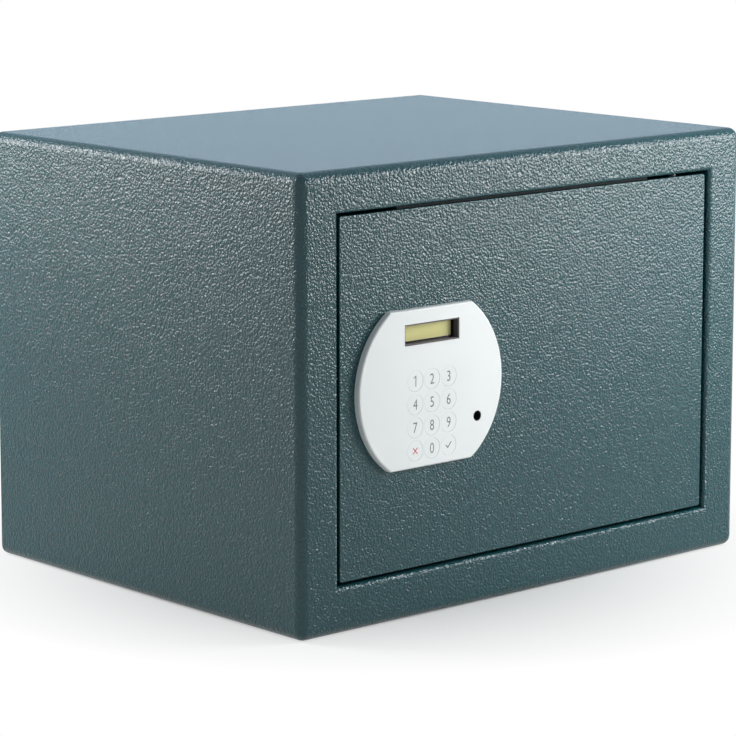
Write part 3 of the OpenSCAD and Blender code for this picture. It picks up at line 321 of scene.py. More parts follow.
casing = add_block("casing", (-HALF_W, FRONT, 0), (HALF_W, BACK, HEIGHT))
select(casing, "FACE", lambda f: f.normal.y > FACING)
bpy.ops.mesh.delete(type="FACE")
select(casing, "EDGE", lambda e: middle(e).y < BACK - MARGIN)
bpy.ops.mesh.bevel(offset=BEND_R * MM, segments=8, affect="EDGES")
select(casing, "FACE", lambda f: f.normal.y < -FACING)
bpy.ops.mesh.inset(thickness=FRAME_INSET * MM)
bpy.ops.transform.resize(value=(OPEN_HALF / (HALF_W - BEND_R - FRAME_INSET), 1,
                                (OPEN_HIGH - OPEN_LOW) / (HEIGHT - 2 * BEND_R - 2 * FRAME_INSET)),
                         center_override=(0, FRONT * MM, HEIGHT / 2 * MM))
bpy.ops.transform.translate(value=(0, 0, ((OPEN_LOW + OPEN_HIGH) / 2 - HEIGHT / 2) * MM))
bpy.ops.mesh.extrude_region_move(TRANSFORM_OT_translate={"value": (0, FLANGE * MM, 0)})
bpy.ops.mesh.delete(type="FACE")
select(casing, "EDGE", lambda e: abs(middle(e).y - FRONT) < NEAR and abs(middle(e).x) < OPEN_HALF + MARGIN
       and OPEN_LOW - MARGIN < middle(e).z < OPEN_HIGH + MARGIN)
bpy.ops.mesh.bevel(offset=RIM_R * MM, segments=6, affect="EDGES")
done_editing()
apply_modifier(casing, "SOLIDIFY", thickness=SHEET * MM, offset=-1, use_even_offset=True)
cut(casing, *[add_rod("drill", "z", (side * FLOOR_HOLE_X, FLOOR_HOLE_Y, 0), ANCHOR_R, DRILL)
              for side in (-1, 1)])
finish_piece(casing, powder_coat, "hammertone_paint", "casing", "body_shell", smooth=35)

# ---- Back and mat ----
# The back is a flat sheet, set into the casing and welded. It has the coating of the casing.
# A needled grey felt mat lies loose on the floor, with round openings over the anchor holes.
MERGE = 0.001


def softened_copy(name, node, width, segments=2, dissolve=1):
    """A copy of a CAD node whose sharp edges are rounded by a width in millimetres."""
    made = bpy.data.objects.new(name, nodes[node].data.copy())
    made.data.name = name
    bpy.context.collection.objects.link(made)
    select(made, "VERT", lambda v: True)
    bpy.ops.mesh.remove_doubles(threshold=MERGE * MM)
    bpy.ops.mesh.dissolve_limited(angle_limit=math.radians(dissolve))
    done_editing()
    round_edges(made, width, segments, angle=35)
    return made


finish_piece(softened_copy("back_sheet", "back_panel", 0.35), powder_coat, "hammertone_paint", "casing",
             "back_panel")

# Needled felt: short grey fibres that lie in all directions, matt, darker and lighter in clouds
FIBRE_MM, CLOUD_MM, FUZZ_DEEP = 0.9, 14, 0.5
needled_felt = new_material("needled_felt")
place = add_node(needled_felt, "TexCoord").outputs["Object"]
fibres = add_node(needled_felt, "TexNoise", {"Vector": place, "Scale": 1 / (FIBRE_MM * MM), "Detail": 6,
                                             "Roughness": 0.75, "Distortion": 2.0})
clouds = add_node(needled_felt, "TexNoise", {"Vector": place, "Scale": 1 / (CLOUD_MM * MM), "Detail": 2})
blend = add_node(needled_felt, "Math", {0: fibres.outputs[0], 1: clouds.outputs[0]}, operation="MULTIPLY")
tone = add_ramp(needled_felt, blend.outputs[0], 0.14, "#26282B", 0.42, "#54585C")
fuzz = add_node(needled_felt, "Bump", {"Height": fibres.outputs[0], "Strength": 0.9,
                                       "Distance": FUZZ_DEEP * MM})
link_surface(needled_felt, add_node(needled_felt, "BsdfPrincipled", {
    "Base Color": tone.outputs[0], "Roughness": 0.95, "IOR": 1.45, "Sheen Weight": 0.35,
    "Sheen Roughness": 0.6, "Normal": fuzz.outputs[0]}))

MAT_HALF_W, MAT_FRONT, MAT_BACK, MAT_T, MAT_HOLE_R = 168, -115.5, 136.5, 3, 14
felt_mat = add_block("felt_mat", (-MAT_HALF_W, MAT_FRONT, SHEET), (MAT_HALF_W, MAT_BACK, SHEET + MAT_T))
select(felt_mat, "FACE", lambda f: True)
bpy.ops.mesh.subdivide(number_cuts=24)
done_editing()
cut(felt_mat, *[add_rod("punch", "z", (side * FLOOR_HOLE_X, FLOOR_HOLE_Y, MAT_T), MAT_HOLE_R, DRILL)
                for side in (-1, 1)])
round_edges(felt_mat, 0.8, segments=3, angle=50)
finish_piece(felt_mat, needled_felt, "grey_felt", "casing", "floor_mat")


# ---- Door stops ----
# Angle strips welded to the flange above and below the opening, coated with the casing.
# Moulded rubber buffers on them keep the door from rattling. A thin black rubber strip along each stop is
# painted shade: it keeps the gap round the door dark.
finish_piece(softened_copy("stop_angles", "door_stops", 0.4), powder_coat, "hammertone_paint", "casing",
             "door_stops")
DRIFT_MM = 30


def moulded(name, light, dark, roughness, grain_mm, depth_mm, **more):
    """Moulded plastic or rubber: a fine texture from the mould and a slight change of tone."""
    material = new_material(name)
    place = add_node(material, "TexCoord").outputs["Object"]
    grit = add_node(material, "TexNoise", {"Vector": place, "Scale": 1 / (grain_mm * MM), "Detail": 3})
    drift = add_node(material, "TexNoise", {"Vector": place, "Scale": 1 / (DRIFT_MM * MM), "Detail": 1})
    tone = add_node(material, "Mix", {"Factor": drift.outputs[0], 6: linear(light), 7: linear(dark)},
                    data_type="RGBA")
    relief = add_node(material, "Bump", {"Height": grit.outputs[0], "Strength": 0.5,
                                         "Distance": depth_mm * MM})
    link_surface(material, add_node(material, "BsdfPrincipled", {
        "Base Color": tone.outputs[2], "Roughness": roughness, "IOR": 1.5, "Normal": relief.outputs[0],
        **more}))
    return material


# Moulded black rubber: dull, with a slight bloom
black_rubber = moulded("moulded_black_rubber", "#1E1F20", "#141516", 0.8, 0.8, 0.08)
finish_piece(softened_copy("rubber_buffers", "door_buffers", 0.4, segments=3), black_rubber, "buffer_rubber",
             "casing", "door_buffers")
# Painted shade: black rubber strips in front of the stops, so that the gap above and below the door looks
# dark
STOP_HALF, SHADE_STRIP_FRONT, SHADE_STRIP_BACK = 100, -131.5, -131
for name, low, high in (("buffer_web_upper", 228.5, 232.8), ("buffer_web_lower", 27.2, 31.5)):
    shade_strip = add_block(name, (-STOP_HALF, SHADE_STRIP_FRONT, low), (STOP_HALF, SHADE_STRIP_BACK, high))
    round_edges(shade_strip, 0.15)
    finish_piece(shade_strip, black_rubber, "buffer_rubber", "casing")


# ---- Hinge ----
# Two lugs on the door carry steel pins, which turn in bores of the frame and its brackets.
# A black acetal washer carries the door, and a torsion spring round the upper pin pushes it open. The
# washer's black is painted shade, which keeps it dark in the gap under the door.
ROUGHNESS_SPREAD = 0.08


def plated(name, light, dark, roughness, grain_mm):
    """Plated or machined metal: tone and roughness change in small patches."""
    material = new_material(name)
    place = add_node(material, "TexCoord").outputs["Object"]
    streaks = add_node(material, "TexNoise", {"Vector": place, "Scale": 1 / (grain_mm * MM),
                                              "Detail": 4, "Roughness": 0.6})
    tone = add_ramp(material, streaks.outputs[0], 0.3, dark, 0.7, light)
    rough = add_node(material, "MapRange", {"Value": streaks.outputs[0],
                                            "To Min": roughness - ROUGHNESS_SPREAD,
                                            "To Max": roughness + ROUGHNESS_SPREAD})
    relief = add_node(material, "Bump", {"Height": streaks.outputs[0], "Strength": 0.25,
                                         "Distance": 0.02 * MM})
    link_surface(material, add_node(material, "BsdfPrincipled", {
        "Base Color": tone.outputs[0], "Metallic": 1.0, "Roughness": rough.outputs[0],
        "Normal": relief.outputs[0]}))
    return material


# Turned and nickel-plated steel: brighter, with fine marks from the lathe
bright_steel = plated("turned_bright_steel", "#D8DADC", "#B9BCBF", 0.22, 0.7)
# Phosphated and oiled steel of the pins: dark grey, with a soft sheen
dark_steel = plated("phosphated_dark_steel", "#55585A", "#3A3C3E", 0.4, 0.8)
for level in ("upper", "lower"):
    finish_piece(softened_copy("pivot_bracket_" + level, "hinge_bracket_" + level, 0.4), powder_coat,
                 "hammertone_paint", "casing", "hinge_bracket_" + level)
    finish_piece(softened_copy("welded_lug_" + level, "hinge_lug_" + level, 0.5), powder_coat,
                 "hammertone_paint", "door", "hinge_lug_" + level)
    finish_piece(softened_copy("pivot_pin_" + level, "hinge_pin_" + level, 0.4), dark_steel,
                 "dark_steel", "door", "hinge_pin_" + level)
# Fine-textured black plastic
black_abs = moulded("textured_black_abs", "#1E1F21", "#161718", 0.5, 0.7, 0.05)
# The washer's black plastic is painted shade: it keeps the washer dark where it shows in the gap under the
# door
finish_piece(softened_copy("carrying_washer", "hinge_washer", 0.2), black_abs, "black_plastic", "casing",
             "hinge_washer")

HINGE_X, HINGE_Y = 124.5, -127.5
# The spring is wound from steel wire: five turns, with a long leg on the door and a short one on the frame
WIRE_R, COIL_R, COIL_TURNS, COIL_PITCH, COIL_LOW = 0.6, 4.1, 5, 2.0, 217.8
LONG_LEG, SHORT_LEG, WIRE_SIDES, COIL_STEPS = 18, 4, 12, 120
bpy.ops.object.select_all(action="DESELECT")
bpy.ops.mesh.primitive_circle_add(vertices=WIRE_SIDES, radius=WIRE_R * MM, fill_type="NOTHING",
                                  location=(0, -COIL_R * MM, 0), rotation=(0, math.pi / 2, 0))
spring = bpy.context.object
spring.name = spring.data.name = "spring_coil"
bpy.ops.object.transform_apply(location=True, rotation=True, scale=True)
apply_modifier(spring, "SCREW", axis="Z", angle=2 * math.pi * COIL_TURNS,
               screw_offset=COIL_PITCH * COIL_TURNS * MM, steps=COIL_STEPS, render_steps=COIL_STEPS)
for end_z, length in ((0, -LONG_LEG), (COIL_PITCH * COIL_TURNS, SHORT_LEG)):
    select(spring, "EDGE", lambda e: len(e.link_faces) == 1 and abs(middle(e).z - end_z) < MARGIN)
    bpy.ops.mesh.extrude_region_move(TRANSFORM_OT_translate={"value": (length * MM, 0, 0)})
    bpy.ops.mesh.edge_face_add()
select(spring, "FACE", lambda f: True)
bpy.ops.mesh.normals_make_consistent(inside=False)
bpy.ops.transform.translate(value=(HINGE_X * MM, HINGE_Y * MM, COIL_LOW * MM))
done_editing()
finish_piece(spring, bright_steel, "bright_steel", "door", "door_spring", smooth=60)


# ---- Door ----
# A 4 mm steel plate, flush with the frame, laser cut for the keypad and coated like the casing.
# A channel is welded upright on its back.
DOOR_LEFT, DOOR_RIGHT, DOOR_LOW, DOOR_HIGH = -146, 144.5, 29, 231.5
DOOR_FRONT, DOOR_BACK = -136.5, -132.5
PAD_X, PAD_Z = -81.2, 131.25
HOUSING_Z, CUT_HALF_W, CUT_HALF_H = 129.25, 27, 41.8
SOCKET_X, SOCKET_Z, SOCKET_WAY_R = -46.4, 110.05, 4.8
DOOR_CORNER_R, DOOR_EDGE_R = 1.5, 0.7
door = add_block("door_leaf", (DOOR_LEFT, DOOR_FRONT, DOOR_LOW), (DOOR_RIGHT, DOOR_BACK, DOOR_HIGH))
select(door, "EDGE", runs_back)
bpy.ops.mesh.bevel(offset=DOOR_CORNER_R * MM, segments=4, affect="EDGES")
done_editing()
cut(door, add_block("cutter", (PAD_X - CUT_HALF_W, DOOR_FRONT - MARGIN, HOUSING_Z - CUT_HALF_H),
                    (PAD_X + CUT_HALF_W, DOOR_BACK + MARGIN, HOUSING_Z + CUT_HALF_H)),
    add_rod("drill", "y", (SOCKET_X, DOOR_FRONT, SOCKET_Z), SOCKET_WAY_R, DRILL))
round_edges(door, DOOR_EDGE_R, segments=3)
finish_piece(door, powder_coat, "hammertone_paint", "door", "door_plate")
finish_piece(softened_copy("door_channel", "door_rib", 0.6, segments=3), powder_coat, "hammertone_paint",
             "door", "door_rib")


# ---- Keypad plate ----
# A white injection-moulded cover, round with a flat top and bottom, screwed on from behind.
# It has round holes for the keys, the display's window and a small hole for the service socket.

# Fine-textured white ABS: satin, very slightly cool
white_abs = moulded("satin_white_abs", "#E6EAEA", "#DFE4E4", 0.5, 0.5, 0.03)

PAD_FRONT, PAD_BACK, PAD_R, PAD_HALF_H, PAD_EDGE_R = -140.5, -136.5, 54.2, 44.7, 1.1
KEY_R, KEY_GAP, KEY_STEP_X, KEY_STEP_Z, KEY_TOP = 5.6, 0.25, 12.65, 13.1, 135.65
KEY_COLUMNS, SOCKET_HOLE_R = 3, 3
WINDOW_Z, WINDOW_HALF_W, WINDOW_HALF_H = 161.85, 20.6, 6
key_names = ["key_1", "key_2", "key_3", "key_4", "key_5", "key_6", "key_7", "key_8", "key_9",
             "key_clear", "key_0", "key_enter"]
key_places = [(PAD_X + (i % KEY_COLUMNS - 1) * KEY_STEP_X, KEY_TOP - (i // KEY_COLUMNS) * KEY_STEP_Z)
              for i in range(len(key_names))]
pad = add_rod("keypad_cover", "y", (PAD_X, (PAD_FRONT + PAD_BACK) / 2, PAD_Z), PAD_R, PAD_BACK - PAD_FRONT,
              sides=160)
for side in (-1, 1):
    select(pad, "FACE", lambda f: True)
    bpy.ops.mesh.bisect(plane_co=(0, 0, (PAD_Z + side * PAD_HALF_H) * MM), plane_no=(0, 0, side),
                        use_fill=True, clear_outer=True)
select(pad, "EDGE", lambda e: all(abs(v.co.y / MM - PAD_FRONT) < NEAR for v in e.verts))
bpy.ops.mesh.bevel(offset=PAD_EDGE_R * MM, segments=4, affect="EDGES")
done_editing()
cut(pad, *[add_rod("drill", "y", (x, PAD_FRONT, z), KEY_R + KEY_GAP, DRILL) for x, z in key_places],
    add_rod("drill", "y", (SOCKET_X, PAD_FRONT, SOCKET_Z), SOCKET_HOLE_R, DRILL),
    add_block("cutter", (PAD_X - WINDOW_HALF_W, PAD_FRONT - MARGIN, WINDOW_Z - WINDOW_HALF_H),
              (PAD_X + WINDOW_HALF_W, PAD_BACK + MARGIN, WINDOW_Z + WINDOW_HALF_H)))
round_edges(pad, 0.2, angle=50)
finish_piece(pad, white_abs, "white_plastic", "door", "keypad_plate")


def repeat(piece, places):
    """Copies a piece made at the origin to each place in millimetres, and joins the copies to one mesh."""
    copies = []
    for place in places:
        bpy.ops.object.select_all(action="DESELECT")
        piece.select_set(True)
        bpy.context.view_layer.objects.active = piece
        bpy.ops.object.duplicate()
        copy = bpy.context.object
        copy.location = Vector(place) * MM
        bpy.ops.object.transform_apply(location=True, rotation=False, scale=False)
        copies.append(copy)
    name = piece.name
    bpy.data.objects.remove(piece)
    bpy.ops.object.select_all(action="DESELECT")
    for copy in copies:
        copy.select_set(True)
    bpy.context.view_layer.objects.active = copies[0]
    bpy.ops.object.join()
    joined = bpy.context.object
    joined.name = joined.data.name = name
    return joined


HEAD_R, HEAD_T, HEAD_ROUND, SHANK_R = 2.8, 1.6, 0.8, 1.5
RECESS_HALF, RECESS_W, RECESS_DEEP = 1.6, 0.7, 1.0


def add_pan_screws(name, places, reach):
    """Pan-head screws with a cross recess, whose heads point into the safe."""
    screw = add_rod(name, "y", (0, HEAD_T / 2, 0), HEAD_R, HEAD_T, sides=40)
    select(screw, "EDGE", lambda e: all(v.co.y > (HEAD_T - NEAR) * MM for v in e.verts))
    bpy.ops.mesh.bevel(offset=HEAD_ROUND * MM, segments=5, affect="EDGES")
    done_editing()
    for half_x, half_z in ((RECESS_HALF, RECESS_W / 2), (RECESS_W / 2, RECESS_HALF)):
        cut(screw, add_block("recess", (-half_x, HEAD_T - RECESS_DEEP, -half_z),
                             (half_x, HEAD_T + MARGIN, half_z)))
    select(screw, "FACE", lambda f: f.normal.y < -FACING and middle(f).y < NEAR)
    bpy.ops.mesh.inset(thickness=(HEAD_R - SHANK_R) * MM)
    bpy.ops.mesh.extrude_region_move(TRANSFORM_OT_translate={"value": (0, -reach * MM, 0)})
    done_editing()
    return repeat(screw, places)


PAD_SCREW_OFFSET, PAD_SCREW_REACH = 33, 6.8
keypad_fixings = add_pan_screws(
    "keypad_pan_screws", [(PAD_X + side_x * PAD_SCREW_OFFSET, DOOR_BACK, PAD_Z + side_z * PAD_SCREW_OFFSET)
                          for side_x in (-1, 1) for side_z in (-1, 1)], PAD_SCREW_REACH)
finish_piece(keypad_fixings, bright_steel, "bright_steel", "door", "keypad_screws")


# ---- Keys ----
# Twelve round white keys, almost flush with the plate, each with a lip that holds it from behind.
# Thin grey digits are printed on them; the lower left key has a red cross and the right one a green tick.
KEY_FRONT, KEY_NECK, KEY_SKIRT_R, LIP_R, LIP_T = -140.46, -136.25, 5.79, 6.05, 0.8
DIGIT_H, DIGIT_W, PRINT_FRONT, PRINT_T = 6.1, 3.65, -140.5, 0.08
# The built-in digits in their own units: height and width once made thinner, how much thinner, and how deep
LETTER_H, LETTER_W, LETTER_THIN, LETTER_DEEP = 0.715, 0.53, -0.004, 0.01
ONE_STROKES, ONE_WIDTH = [(-1.0, 1.9), (0.35, 2.8), (0.35, -2.8)], 0.5
TICK_STROKES, CROSS, MARK_WIDTH = [(-1.9, 0), (-0.6, -1.4), (1.9, 1.5)], 1.5, 0.55
# Pad-printed ink: matt, a little uneven where it is thin
grey_ink = moulded("grey_printing_ink", "#70777A", "#5C6366", 0.6, 0.3, 0.01)
red_ink = moulded("red_printing_ink", "#D8505A", "#C8404C", 0.6, 0.3, 0.01)
green_ink = moulded("green_printing_ink", "#3C5A50", "#2E4A42", 0.6, 0.3, 0.01)


def add_key(name, x, z):
    """A key cap with a rounded rim in front and a lip behind."""
    key = add_rod("cap_" + name, "y", (x, (KEY_FRONT + KEY_NECK) / 2, z), KEY_SKIRT_R, KEY_NECK - KEY_FRONT,
                  sides=64)
    select(key, "FACE", lambda f: f.normal.y > FACING)
    bpy.ops.mesh.extrude_region_move(TRANSFORM_OT_translate={"value": (0, 0, 0)})
    bpy.ops.transform.resize(value=(LIP_R / KEY_SKIRT_R, 1, LIP_R / KEY_SKIRT_R),
                             center_override=(x * MM, KEY_NECK * MM, z * MM))
    bpy.ops.mesh.extrude_region_move(TRANSFORM_OT_translate={"value": (0, LIP_T * MM, 0)})
    select(key, "EDGE", lambda e: all(abs(v.co.y / MM - KEY_FRONT) < NEAR for v in e.verts))
    bpy.ops.mesh.bevel(offset=(KEY_SKIRT_R - KEY_R) * MM, segments=4, affect="EDGES")
    done_editing()
    return key


def add_print(name, text, x, z, wide, high):
    """A printed character as a thin mesh in front of a key."""
    bpy.ops.object.select_all(action="DESELECT")
    bpy.ops.object.text_add(location=(0, 0, 0))
    letter = bpy.context.object
    letter.name = name
    letter.data.body = text
    letter.data.align_x = "CENTER"
    letter.data.align_y = "CENTER"
    letter.data.resolution_u = 6
    letter.data.offset = LETTER_THIN
    letter.data.extrude = LETTER_DEEP
    bpy.ops.object.convert(target="MESH")
    letter = bpy.context.object
    letter.data.name = name
    points = [v.co.copy() for v in letter.data.vertices]
    low = Vector([min(p[i] for p in points) for i in range(3)])
    high_corner = Vector([max(p[i] for p in points) for i in range(3)])
    letter.location = -(low + high_corner) / 2
    bpy.ops.object.transform_apply(location=True, rotation=False, scale=False)
    letter.scale = (wide * MM, high * MM, PRINT_T * MM / (high_corner.z - low.z))
    bpy.ops.object.transform_apply(location=False, rotation=False, scale=True)
    letter.rotation_euler = (math.pi / 2, 0, 0)
    letter.location = (x * MM, (PRINT_FRONT + PRINT_T / 2) * MM, z * MM)
    bpy.ops.object.transform_apply(location=True, rotation=True, scale=False)
    return letter


def add_stroke(name, x, z, points, width):
    """A printed line of straight strokes through points round a key's middle, joined to one piece."""
    places = [(x + point_x, z + point_z) for point_x, point_z in points]
    strokes = []
    for (x0, z0), (x1, z1) in zip(places, places[1:]):
        reach = math.hypot(x1 - x0, z1 - z0) + width
        stroke = add_block(name, (-reach / 2, -PRINT_T / 2, -width / 2), (reach / 2, PRINT_T / 2, width / 2))
        stroke.rotation_euler = (0, -math.atan2(z1 - z0, x1 - x0), 0)
        stroke.location = Vector(((x0 + x1) / 2, PRINT_FRONT + PRINT_T / 2, (z0 + z1) / 2)) * MM
        bpy.ops.object.transform_apply(location=True, rotation=True, scale=False)
        strokes.append(stroke)
    bpy.ops.object.select_all(action="DESELECT")
    for stroke in strokes:
        stroke.select_set(True)
    bpy.context.view_layer.objects.active = strokes[0]
    if len(strokes) > 1:
        bpy.ops.object.join()
    return bpy.context.object


for name, (x, z) in zip(key_names, key_places):
    finish_piece(add_key(name, x, z), white_abs, "white_plastic", name, name)
    if name == "key_1":
        finish_piece(add_stroke("print_key_1", x, z, ONE_STROKES, ONE_WIDTH), grey_ink, "black_plastic", name)
    elif name[-1].isdigit():
        finish_piece(add_print("print_" + name, name[-1], x, z, DIGIT_W / LETTER_W, DIGIT_H / LETTER_H),
                     grey_ink, "black_plastic", name)
for way, turn in (("down", -1), ("up", 1)):
    bar = add_stroke("print_cross_" + way, *key_places[key_names.index("key_clear")],
                     [(-CROSS, -turn * CROSS), (CROSS, turn * CROSS)], MARK_WIDTH)
    finish_piece(bar, red_ink, "red_plastic", "key_clear")
tick = add_stroke("print_tick", *key_places[key_names.index("key_enter")], TICK_STROKES, MARK_WIDTH)
finish_piece(tick, green_ink, "black_plastic", "key_enter")


# ---- Display ----
# A small reflective display behind a black mask, set deep in the window of the keypad plate.
# A dark frame lines the window.
BEZEL_FRONT, BEZEL_BACK, BEZEL_WALL, BEZEL_GAP = -140.1, -136.5, 0.8, 0.05
# Dark grey moulded frame, dull
dark_frame = moulded("dark_moulded_frame", "#5A5353", "#4A4445", 0.55, 0.6, 0.03)
bezel = add_block(
    "window_frame", (PAD_X - WINDOW_HALF_W + BEZEL_GAP, BEZEL_FRONT, WINDOW_Z - WINDOW_HALF_H + BEZEL_GAP),
    (PAD_X + WINDOW_HALF_W - BEZEL_GAP, BEZEL_BACK, WINDOW_Z + WINDOW_HALF_H - BEZEL_GAP))
cut(bezel, add_block(
    "cutter",
    (PAD_X - WINDOW_HALF_W + BEZEL_WALL, BEZEL_FRONT - MARGIN, WINDOW_Z - WINDOW_HALF_H + BEZEL_WALL),
    (PAD_X + WINDOW_HALF_W - BEZEL_WALL, BEZEL_BACK + MARGIN, WINDOW_Z + WINDOW_HALF_H - BEZEL_WALL)))
round_edges(bezel, 0.15)
finish_piece(bezel, dark_frame, "black_plastic", "door", "display_frame")
# Black film: smooth and glossy
black_film = moulded("glossy_black_film", "#141214", "#0E0D0F", 0.12, 6.0, 0.005)
coat(black_film, "display_mask")
# Reflective liquid crystal: a flat olive field under a clear polariser
olive_display = moulded("olive_display_field", "#CFCC8A", "#C6C27F", 0.18, 4.0, 0.004, **{"Coat Weight": 0.3})
coat(olive_display, "display_module")


# ---- Service socket, housing, mat and board of the keypad ----
# Black ABS housing behind the plate with the board, and a silicone mat with a dome under each key.
# The socket is a moulded black barrel whose bore opens behind the plate's small hole.
finish_piece(softened_copy("keypad_case", "keypad_housing", 0.4), black_abs, "black_plastic", "door",
             "keypad_housing")
SOCKET_FRONT, SOCKET_SEAT, SOCKET_BACK, SOCKET_R, SOCKET_BORE = -140.3, -136.5, -124.5, 4.5, 2.75
SOCKET_NOSE_R, SOCKET_FLOOR, PIN_R, PIN_FRONT, PIN_BACK = 2.97, 2, 0.6, -133.5, -125.5
socket = add_rod("socket_barrel", "y", (SOCKET_X, (SOCKET_SEAT + SOCKET_BACK) / 2, SOCKET_Z), SOCKET_R,
                 SOCKET_BACK - SOCKET_SEAT)
select(socket, "FACE", lambda f: f.normal.y < -FACING)
bpy.ops.mesh.inset(thickness=(SOCKET_R - SOCKET_NOSE_R) * MM)
bpy.ops.mesh.extrude_region_move(TRANSFORM_OT_translate={"value": (0, (SOCKET_FRONT - SOCKET_SEAT) * MM, 0)})
bpy.ops.mesh.inset(thickness=(SOCKET_NOSE_R - SOCKET_BORE) * MM)
bpy.ops.mesh.extrude_region_move(
    TRANSFORM_OT_translate={"value": (0, (SOCKET_BACK - SOCKET_FLOOR - SOCKET_FRONT) * MM, 0)})
done_editing()
round_edges(socket, 0.08, angle=50)
finish_piece(socket, black_abs, "black_plastic", "door", "service_socket")
contact_pin = add_rod("socket_contact", "y", (SOCKET_X, (PIN_FRONT + PIN_BACK) / 2, SOCKET_Z), PIN_R,
                      PIN_BACK - PIN_FRONT, sides=24)
round_edges(contact_pin, 0.3, segments=3, angle=50)
finish_piece(contact_pin, bright_steel, "bright_steel", "door")
coat(black_rubber, "key_mat")
# Glass-fibre board under green solder resist: glossy, with faint tracks below the resist
TRACK_MM, ROW_HEIGHT = 2.5, 0.25
solder_resist = new_material("green_solder_resist")
place = add_node(solder_resist, "TexCoord").outputs["Object"]
turned = add_node(solder_resist, "Mapping", {"Vector": place, "Rotation": (math.pi / 2, 0, 0)})
tracks = add_node(solder_resist, "TexBrick", {"Vector": turned.outputs[0],
                                              "Scale": ROW_HEIGHT / (TRACK_MM * MM),
                                              "Color1": linear("#1B5A35"), "Color2": linear("#174F2F"),
                                              "Mortar": linear("#3B8256"), "Mortar Size": 0.03,
                                              "Brick Width": 1.3, "Row Height": ROW_HEIGHT})
ridge = add_node(solder_resist, "Bump", {"Height": tracks.outputs["Fac"], "Strength": 0.4,
                                         "Distance": 0.04 * MM})
link_surface(solder_resist, add_node(solder_resist, "BsdfPrincipled", {
    "Base Color": tracks.outputs["Color"], "Roughness": 0.25, "IOR": 1.5, "Normal": ridge.outputs[0]}))
coat(solder_resist, "keypad_board")


# ---- Lock chassis and bolts ----
# A zinc-plated chassis sheet stands on spacers behind the door plate, with posts for the lock's cover.
# Two round steel bolts slide in white acetal blocks on it, joined by an upright carriage.

# Zinc-plated sheet: a pale, slightly cloudy grey metal
zinc_plate = plated("zinc_plated_steel", "#C9CCCE", "#A9ADB0", 0.38, 3.0)
coat(zinc_plate, "chassis_spacers", "cover_posts", "bolt_screws")
coat(bright_steel, "shoulder_screws")
finish_piece(softened_copy("chassis_sheet", "lock_chassis", 0.3), zinc_plate, "zinc_steel", "door",
             "lock_chassis")
finish_piece(softened_copy("bolt_upright", "bolt_carriage", 0.5), zinc_plate, "zinc_steel", "bolt_bar",
             "bolt_carriage")
for level in ("upper", "lower"):
    finish_piece(softened_copy("round_bolt_" + level, "bolt_" + level, 0.5, segments=3), bright_steel,
                 "bright_steel", "bolt_bar", "bolt_" + level)
# White acetal guide blocks: waxy, nearly smooth
white_acetal = moulded("white_acetal", "#E8E8E2", "#DEDED6", 0.3, 2.0, 0.01)
finish_piece(softened_copy("bolt_blocks", "bolt_guides", 0.5), white_acetal, "white_nylon", "door",
             "bolt_guides")


# ---- Drive ----
# A small motor stands on its gearbox, both held by a bracket on the chassis.
# The gearbox's pinion moves a brass rack on the carriage, and an angle on the chassis keeps the two in mesh.

# Machined brass: warm yellow with fine tool marks
machined_brass = plated("machined_brass", "#D9B56A", "#B98F45", 0.28, 0.8)
coat(machined_brass, "drive_rack", "drive_pinion")
coat(zinc_plate, "rack_guide")
finish_piece(softened_copy("motor_shelf", "motor_bracket", 0.3), zinc_plate, "zinc_steel", "door",
             "motor_bracket")
finish_piece(softened_copy("motor_can", "motor", 0.8, segments=3), bright_steel, "bright_steel", "door",
             "motor")
finish_piece(softened_copy("gearbox_case", "gearbox", 0.6, segments=3), black_abs, "black_plastic", "door",
             "gearbox")


# ---- Control board and wiring ----
# A green board carries the control circuit, and a flat ribbon cable joins it to the keypad's board.
# A short red lead runs in a curve from the motor to the board.
finish_piece(softened_copy("control_circuit", "control_board", 0.2), solder_resist, "board_laminate", "door",
             "control_board")
# Extruded PVC ribbon: grey, with a rib over each of its wires. Its grey is painted lighter on each rib and
# darker in the grooves between them, as painted shade.
WIRE_PITCH, RADIANS_PER_UNIT = 1.27, 20
grey_pvc = new_material("ribbed_grey_pvc")
place = add_node(grey_pvc, "TexCoord").outputs["Object"]
wires = add_node(grey_pvc, "TexWave", {"Vector": place,
                                       "Scale": 2 * math.pi / (RADIANS_PER_UNIT * WIRE_PITCH * MM)},
                 bands_direction="Z")
# Painted shade: the grey follows the ribs' height, lighter on their tops and darker in the grooves
tone = add_ramp(grey_pvc, wires.outputs["Fac"], 0.0, "#6E7174", 1.0, "#94979A")
ribs = add_node(grey_pvc, "Bump", {"Height": wires.outputs["Fac"], "Strength": 0.7, "Distance": 0.2 * MM})
link_surface(grey_pvc, add_node(grey_pvc, "BsdfPrincipled", {
    "Base Color": tone.outputs[0], "Roughness": 0.45, "IOR": 1.53, "Normal": ribs.outputs[0]}))
finish_piece(softened_copy("flat_ribbon", "ribbon_cable", 0.15), grey_pvc, "cable_sleeve", "door",
             "ribbon_cable")

# Moulded red plastic and the lead's red PVC: glossy, slightly uneven
red_plastic = moulded("red_moulded_plastic", "#B02A28", "#9C2220", 0.35, 0.8, 0.02)
LEAD_R = 1.0
LEAD_START, LEAD_GOAL = Vector((-70.5, -103.1, 175.85)), Vector((-47, -113.9, 189.25))
LEAD_RISE = [(0, 0, 0), (0, 0, 2), (1, -0.5, 4), (4, -1, 6.5), (8, -1.5, 7.5)]
LEAD_FALL = [(-7, 5.5, 4), (-3, 5, 2.5), (-0.8, 4, 0.8), (0, 2, 0), (0, 0, 0)]
bpy.ops.object.select_all(action="DESELECT")
bpy.ops.curve.primitive_nurbs_path_add(location=(0, 0, 0))
lead = bpy.context.object
lead.name = lead.data.name = "motor_cable"
lead.data.bevel_depth, lead.data.bevel_resolution, lead.data.use_fill_caps = LEAD_R * MM, 4, True
strand = lead.data.splines[0]
